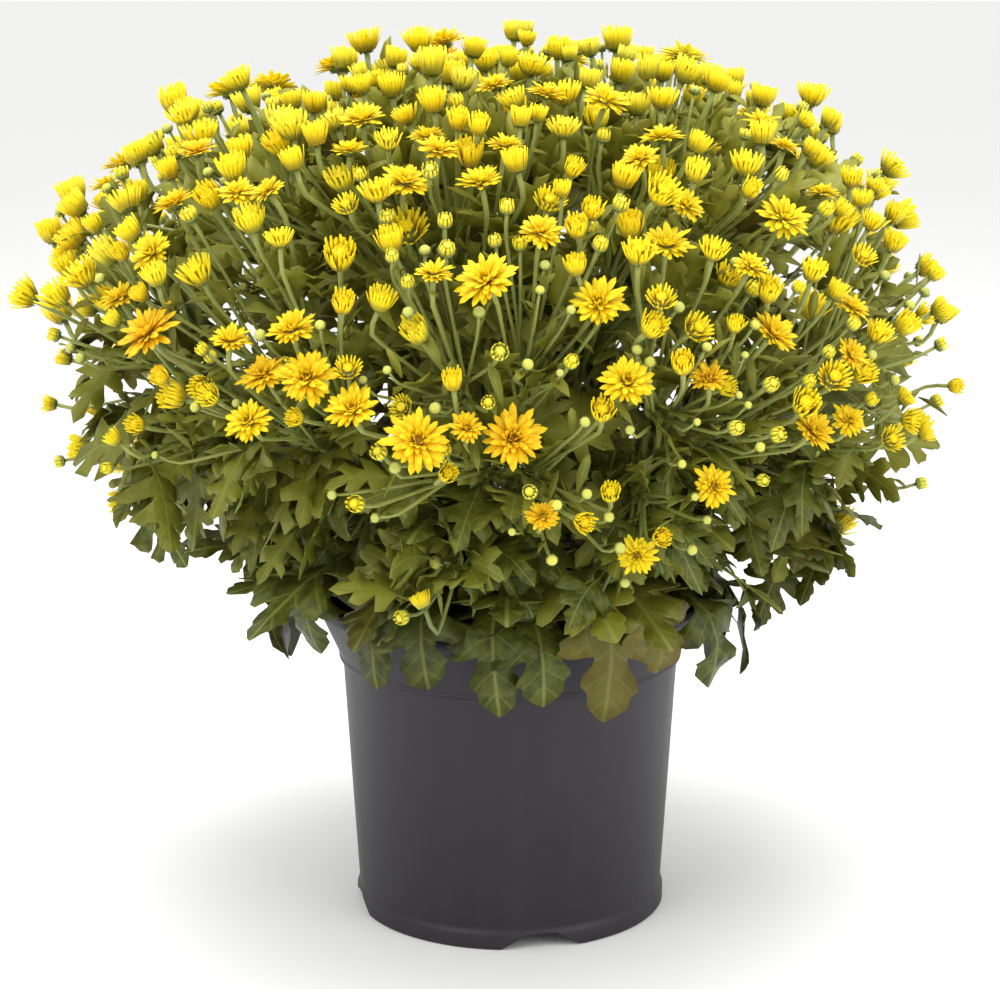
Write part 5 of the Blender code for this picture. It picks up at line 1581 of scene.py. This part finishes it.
def notch_block(angle):
    """A block across the foot ring, wide at the bottom and narrow at the top."""
    made = shaped("Notch", bpy.ops.mesh.primitive_cube_add, size=1)
    cos, sin = math.cos(angle), math.sin(angle)
    for vert in made.data.vertices:
        width, height = NOTCH_TOP_WIDTH, NOTCH_HEIGHT
        if vert.co.z < 0:
            width, height = NOTCH_BOTTOM_WIDTH * (1 + PAST_THE_FACE / NOTCH_HEIGHT), -PAST_THE_FACE
        out, side = FOOT_RADIUS + vert.co.x * NOTCH_DEPTH, vert.co.y * width
        vert.co = ((out * cos - side * sin) * MM, (out * sin + side * cos) * MM, height * MM)
    return made


def drain_block(spot):
    """A round block through the floor at this spot."""
    place = (spot[0] * MM, spot[1] * MM, (FLOOR_BOTTOM + FLOOR_TOP) / 2 * MM)
    return shaped(
        "Drain", bpy.ops.mesh.primitive_cylinder_add,
        vertices=24, radius=DRAIN_RADIUS * MM, depth=DRAIN_DEPTH * MM, location=place,
    )


def cut_out(target, block):
    """Cuts the block out of the target, and removes the block."""
    picked(target)
    cut = target.modifiers.new("Cut", "BOOLEAN")
    cut.operation = "DIFFERENCE"
    cut.object = block
    bpy.ops.object.modifier_apply(modifier=cut.name)
    bpy.data.objects.remove(block)


# Crumbs on the mix, which falls away a little towards the wall
CRUMBS = 300
CRUMB_REACH = 103
CRUMB_SIZES = (0.7, 2.6)
CRUMB_SQUEEZE = (0.5, 1.3)
MOUND_REACH = 80
SLOPE_FROM = 82
SLOPE = 0.12


def make_crumbs(finish, draw):
    """Crumbs of peat and bark that lie on the mix."""
    crumb = Pattern(shaped("Crumb", bpy.ops.mesh.primitive_ico_sphere_add, subdivisions=1, radius=1))
    copies = []
    for _ in range(CRUMBS):
        away = CRUMB_REACH * math.sqrt(draw.random())
        angle = draw.uniform(0, 2 * math.pi)
        size = draw.uniform(*CRUMB_SIZES)
        top = SOIL_TOP + SOIL_MOUND * (1 - min(away / MOUND_REACH, 1)) - max(0, away - SLOPE_FROM) * SLOPE
        squeeze = draw.uniform(*CRUMB_SQUEEZE, 3)
        points = crumb.points * squeeze * size * draw.uniform(0.8, 1.2, crumb.points.shape)
        place = [away * math.cos(angle), away * math.sin(angle), top + size * 0.2]
        copies.append((crumb, points + place, 0.0))
    lay("mix_crumbs", copies, [finish], "potting_mix")


# The mix as rings, from its foot up the wall and then in towards the middle of its mound
MIX_SIDES = 96
MIX_FOOT = (86.5, FLOOR_TOP + 0.3)
MIX_AT_RIDGE = (95.0, RIDGE_HEIGHT - 1)
MOUND_RINGS = 13
LUMPS = 0.9


def make_mix(finish, draw):
    """The mix in the pot: a disc that fits the wall, raised towards its middle and lumpy."""
    made = shaped(
        "mix_body", bpy.ops.mesh.primitive_circle_add,
        vertices=MIX_SIDES, radius=MIX_FOOT[0] * MM, fill_type="NOTHING",
    )
    bpy.ops.object.mode_set(mode="EDIT")
    bpy.ops.mesh.select_all(action="SELECT")
    bpy.ops.transform.translate(value=(0, 0, MIX_FOOT[1] * MM))
    bpy.ops.mesh.edge_face_add()
    band = (RIDGE_HEIGHT - 1, LIP_BOTTOM - 1)
    edge = np.interp(SOIL_TOP - 3, band, (BODY_TOP_RADIUS, BAND_TOP_RADIUS)) - WALL
    rings = [MIX_FOOT, MIX_AT_RIDGE, (edge - 0.6, SOIL_TOP - 3.5), (edge - 2.0, SOIL_TOP - 2.2)]
    for k in range(1, MOUND_RINGS):
        rings.append((edge * (1 - k / MOUND_RINGS), SOIL_TOP - 2 + SOIL_MOUND * k / MOUND_RINGS))
    for (was, below), (radius, height) in zip(rings, rings[1:]):
        bpy.ops.mesh.extrude_region_move(TRANSFORM_OT_translate={"value": (0, 0, (height - below) * MM)})
        ratio = radius / was
        bpy.ops.transform.resize(value=(ratio, ratio, 1), center_override=(0, 0, height * MM))
    close_up()
    for vert in made.data.vertices:
        if vert.co.z > (SOIL_TOP - 2.1) * MM:
            vert.co.z += draw.normal(0, LUMPS) * MM
        vert.co += Vector(AXIS * MM)
    made.data.materials.append(finish)
    bpy.ops.object.shade_smooth()
    settle(made, "potting_mix")


# A leaf's tone: 0 is young and high up, 0.8 is low, where the tone paints shade on the leaf, and more has
# begun to yellow
YELLOWED_SHARE = 0.03
YELLOWED_TONES = (0.85, 1.0)
LOW_SHADE_TONES = (0.62, 0.82)
LOW_UNDER = POT_HEIGHT + 8
UPPER_TONES = (0.2, 0.6)
YOUNG_FROM = 280


def leaf_tone(leaf, draw):
    """A leaf's tone: its age, and for a leaf low under the crown, painted shade."""
    if draw.random() < YELLOWED_SHARE:
        return draw.uniform(*YELLOWED_TONES)
    # Leaves low under the crown get high tones, which paint shade on them.
    if leaf.tip[2] < LOW_UNDER:
        return draw.uniform(*LOW_SHADE_TONES)
    height = np.clip((leaf.tip[2] - POT_HEIGHT) / YOUNG_FROM, 0, 1)
    return draw.uniform(*UPPER_TONES) * (1 - 0.75 * height)


# Radii from the foot to the tip of a main stem, a side stem, a stalk up to its neck, and a leaf's twig
STEM_RADII = (3.1, 2.9, 2.5, 1.9)
SIDE_STEM_RADII = (2.0, 1.6, 1.2)
STALK_RADII = (1.2, 1.0, 0.95)
TWIG_RADII = (0.9, 0.7, 0.6)


def dress_spray(spray, flowers, leaf_patterns, finishes, draw):
    """The pieces that stand for one leafy stem: its stems, leaves and smaller heads."""
    number = f"{spray.number + 1:02d}"
    node = "leafy_stem_" + number
    lines = [(spray.stem, STEM_RADII)]
    lines += [(side.line, SIDE_STEM_RADII) for side in spray.side_stems]
    for head, points in spray.stalks:
        neck_radius = min(1.6, 0.25 * head.radius)
        bow = min(14, 0.3 * np.linalg.norm(points[-1] - points[-2]))
        line = list(points[:-1]) + [head.base - head.axis * bow, head.base]
        lines.append((line, (*STALK_RADII, neck_radius)))
    lines += [(twig, TWIG_RADII) for twig in spray.twigs]
    tubes("stems_" + number, lines, finishes["stem"], node)
    copies = []
    for leaf in spray.leaves:
        kind = leaf_patterns[leaf.outline]
        pattern = kind[int(draw.integers(len(kind)))]
        copies.append((pattern, bent_leaf(pattern, leaf, draw), leaf_tone(leaf, draw)))
    lay("leaves_" + number, copies, finishes["leaf"], node)
    copies = [head_copy(head, flowers, draw) for head, _ in spray.stalks if head.node == spray.number]
    lay("cups_" + number, copies, finishes["head"], node)


# Soft lights, each as its name, place, size and power
SOFTBOXES = (
    ("Key softbox", (-1.2, -1.4, 1.7), (1.3, 1.3), 17),
    ("Fill softbox", (1.5, -1.2, 1.0), (1.2, 1.5), 12),
    ("Top softbox", (0.0, -0.1, 2.1), (1.6, 1.6), 38),
)
LIT_HEIGHT = 0.28
FLOOR_SIZE = 80
FLOOR_DROP = 0.0003
PICTURE_WIDTH = 1000
SENSOR_WIDTH = 36


def studio():
    """A pale floor, soft light from both sides and above, and the camera where the photograph was taken."""
    floor = shaped(
        "studio_floor", bpy.ops.mesh.primitive_plane_add, size=FLOOR_SIZE, location=(0, 0, -FLOOR_DROP)
    )
    paint, _, _ = new_finish("Matt white floor paint", Roughness=0.9, Base_Color=linear("#f6f6f5"))
    floor.data.materials.append(paint)
    scene = bpy.context.scene
    world = bpy.data.worlds.new("Studio")
    world.use_nodes = True
    world.node_tree.nodes["Background"].inputs["Color"].default_value = (1, 1, 1, 1)
    world.node_tree.nodes["Background"].inputs["Strength"].default_value = 0.95
    scene.world = world
    middle = Vector((AXIS[0] * MM, AXIS[1] * MM, LIT_HEIGHT))
    for name, place, size, power in SOFTBOXES:
        lamp = bpy.data.lights.new(name, "AREA")
        lamp.shape = "RECTANGLE"
        lamp.size, lamp.size_y = size
        lamp.energy = power
        made = put_in(name, lamp)
        made.location = place
        made.rotation_euler = (middle - Vector(place)).to_track_quat("-Z", "Y").to_euler()
    lens = bpy.data.cameras.new("Camera")
    lens.sensor_width = SENSOR_WIDTH
    lens.lens = FOCAL_PIXELS / PICTURE_WIDTH * SENSOR_WIDTH
    lens.shift_x = (PICTURE_WIDTH / 2 - CENTRE_PIXEL[0]) / PICTURE_WIDTH
    camera = put_in("Camera", lens)
    camera.location = Vector((EYE + AXIS) * MM)
    camera.rotation_euler = (math.pi / 2 - EYE_PITCH, 0, 0)
    scene.camera = camera
    scene.view_settings.view_transform = "Standard"


pot_low, pot_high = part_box("pot")
AXIS = np.array([(pot_low[0] + pot_high[0]) / 2, (pot_low[1] + pot_high[1]) / 2, 0.0]) / MM
sprays, blooms = grow_whole()
draw = np.random.default_rng(SEED + 2)
finishes = {
    "head": [ray_florets(), calyx_scales(), disc_florets()],
    "leaf": [
        leaf_face("Leaf upper face", "#38410e", "#5d6619", "#83883e", "#9a982e", "#8f7a24", 0.5),
        leaf_face("Leaf underside", "#555b32", "#6b7140", "#8d9262", "#949640", "#94884a", 0.62),
    ],
    "stem": green_stem(),
}
flowers = make_flowers(draw)
leaf_patterns = {
    SMALL_LEAF: leaf_patterns_of("Young leaf", PLAIN_LOBES, (0.85, 1.0), *COARSE_CUTS),
    RIM_LEAF: leaf_patterns_of("Hanging leaf", HANGING_LOBES, (1.0, 1.2), *FINE_CUTS),
    SKIRT_LEAF: leaf_patterns_of("Long-stalked leaf", LONG_STALKED_LOBES, (0.8, 1.0), *FINE_CUTS),
    LOBED_LEAF: leaf_patterns_of("Broad leaf", BROAD_LOBES, (0.85, 1.0), *FINE_CUTS),
    MIDDLE_LEAF: leaf_patterns_of("Plain leaf", PLAIN_LOBES, (0.8, 1.0), *COARSE_CUTS),
    BRACT_LEAF: leaf_patterns_of("Bract leaf", BRACT_LEAF, (1.0,), (0,), ()),
}
for spray in sprays:
    dress_spray(spray, flowers, leaf_patterns, finishes, draw)
for number, head in enumerate(blooms):
    name = f"bloom_{number + 1:02d}"
    lay(name + "_florets", [head_copy(head, flowers, draw)], finishes["head"], name)
make_pot(moulded_plastic())
mix_finish = peat_mix()
make_mix(mix_finish, draw)
make_crumbs(mix_finish, draw)
studio()
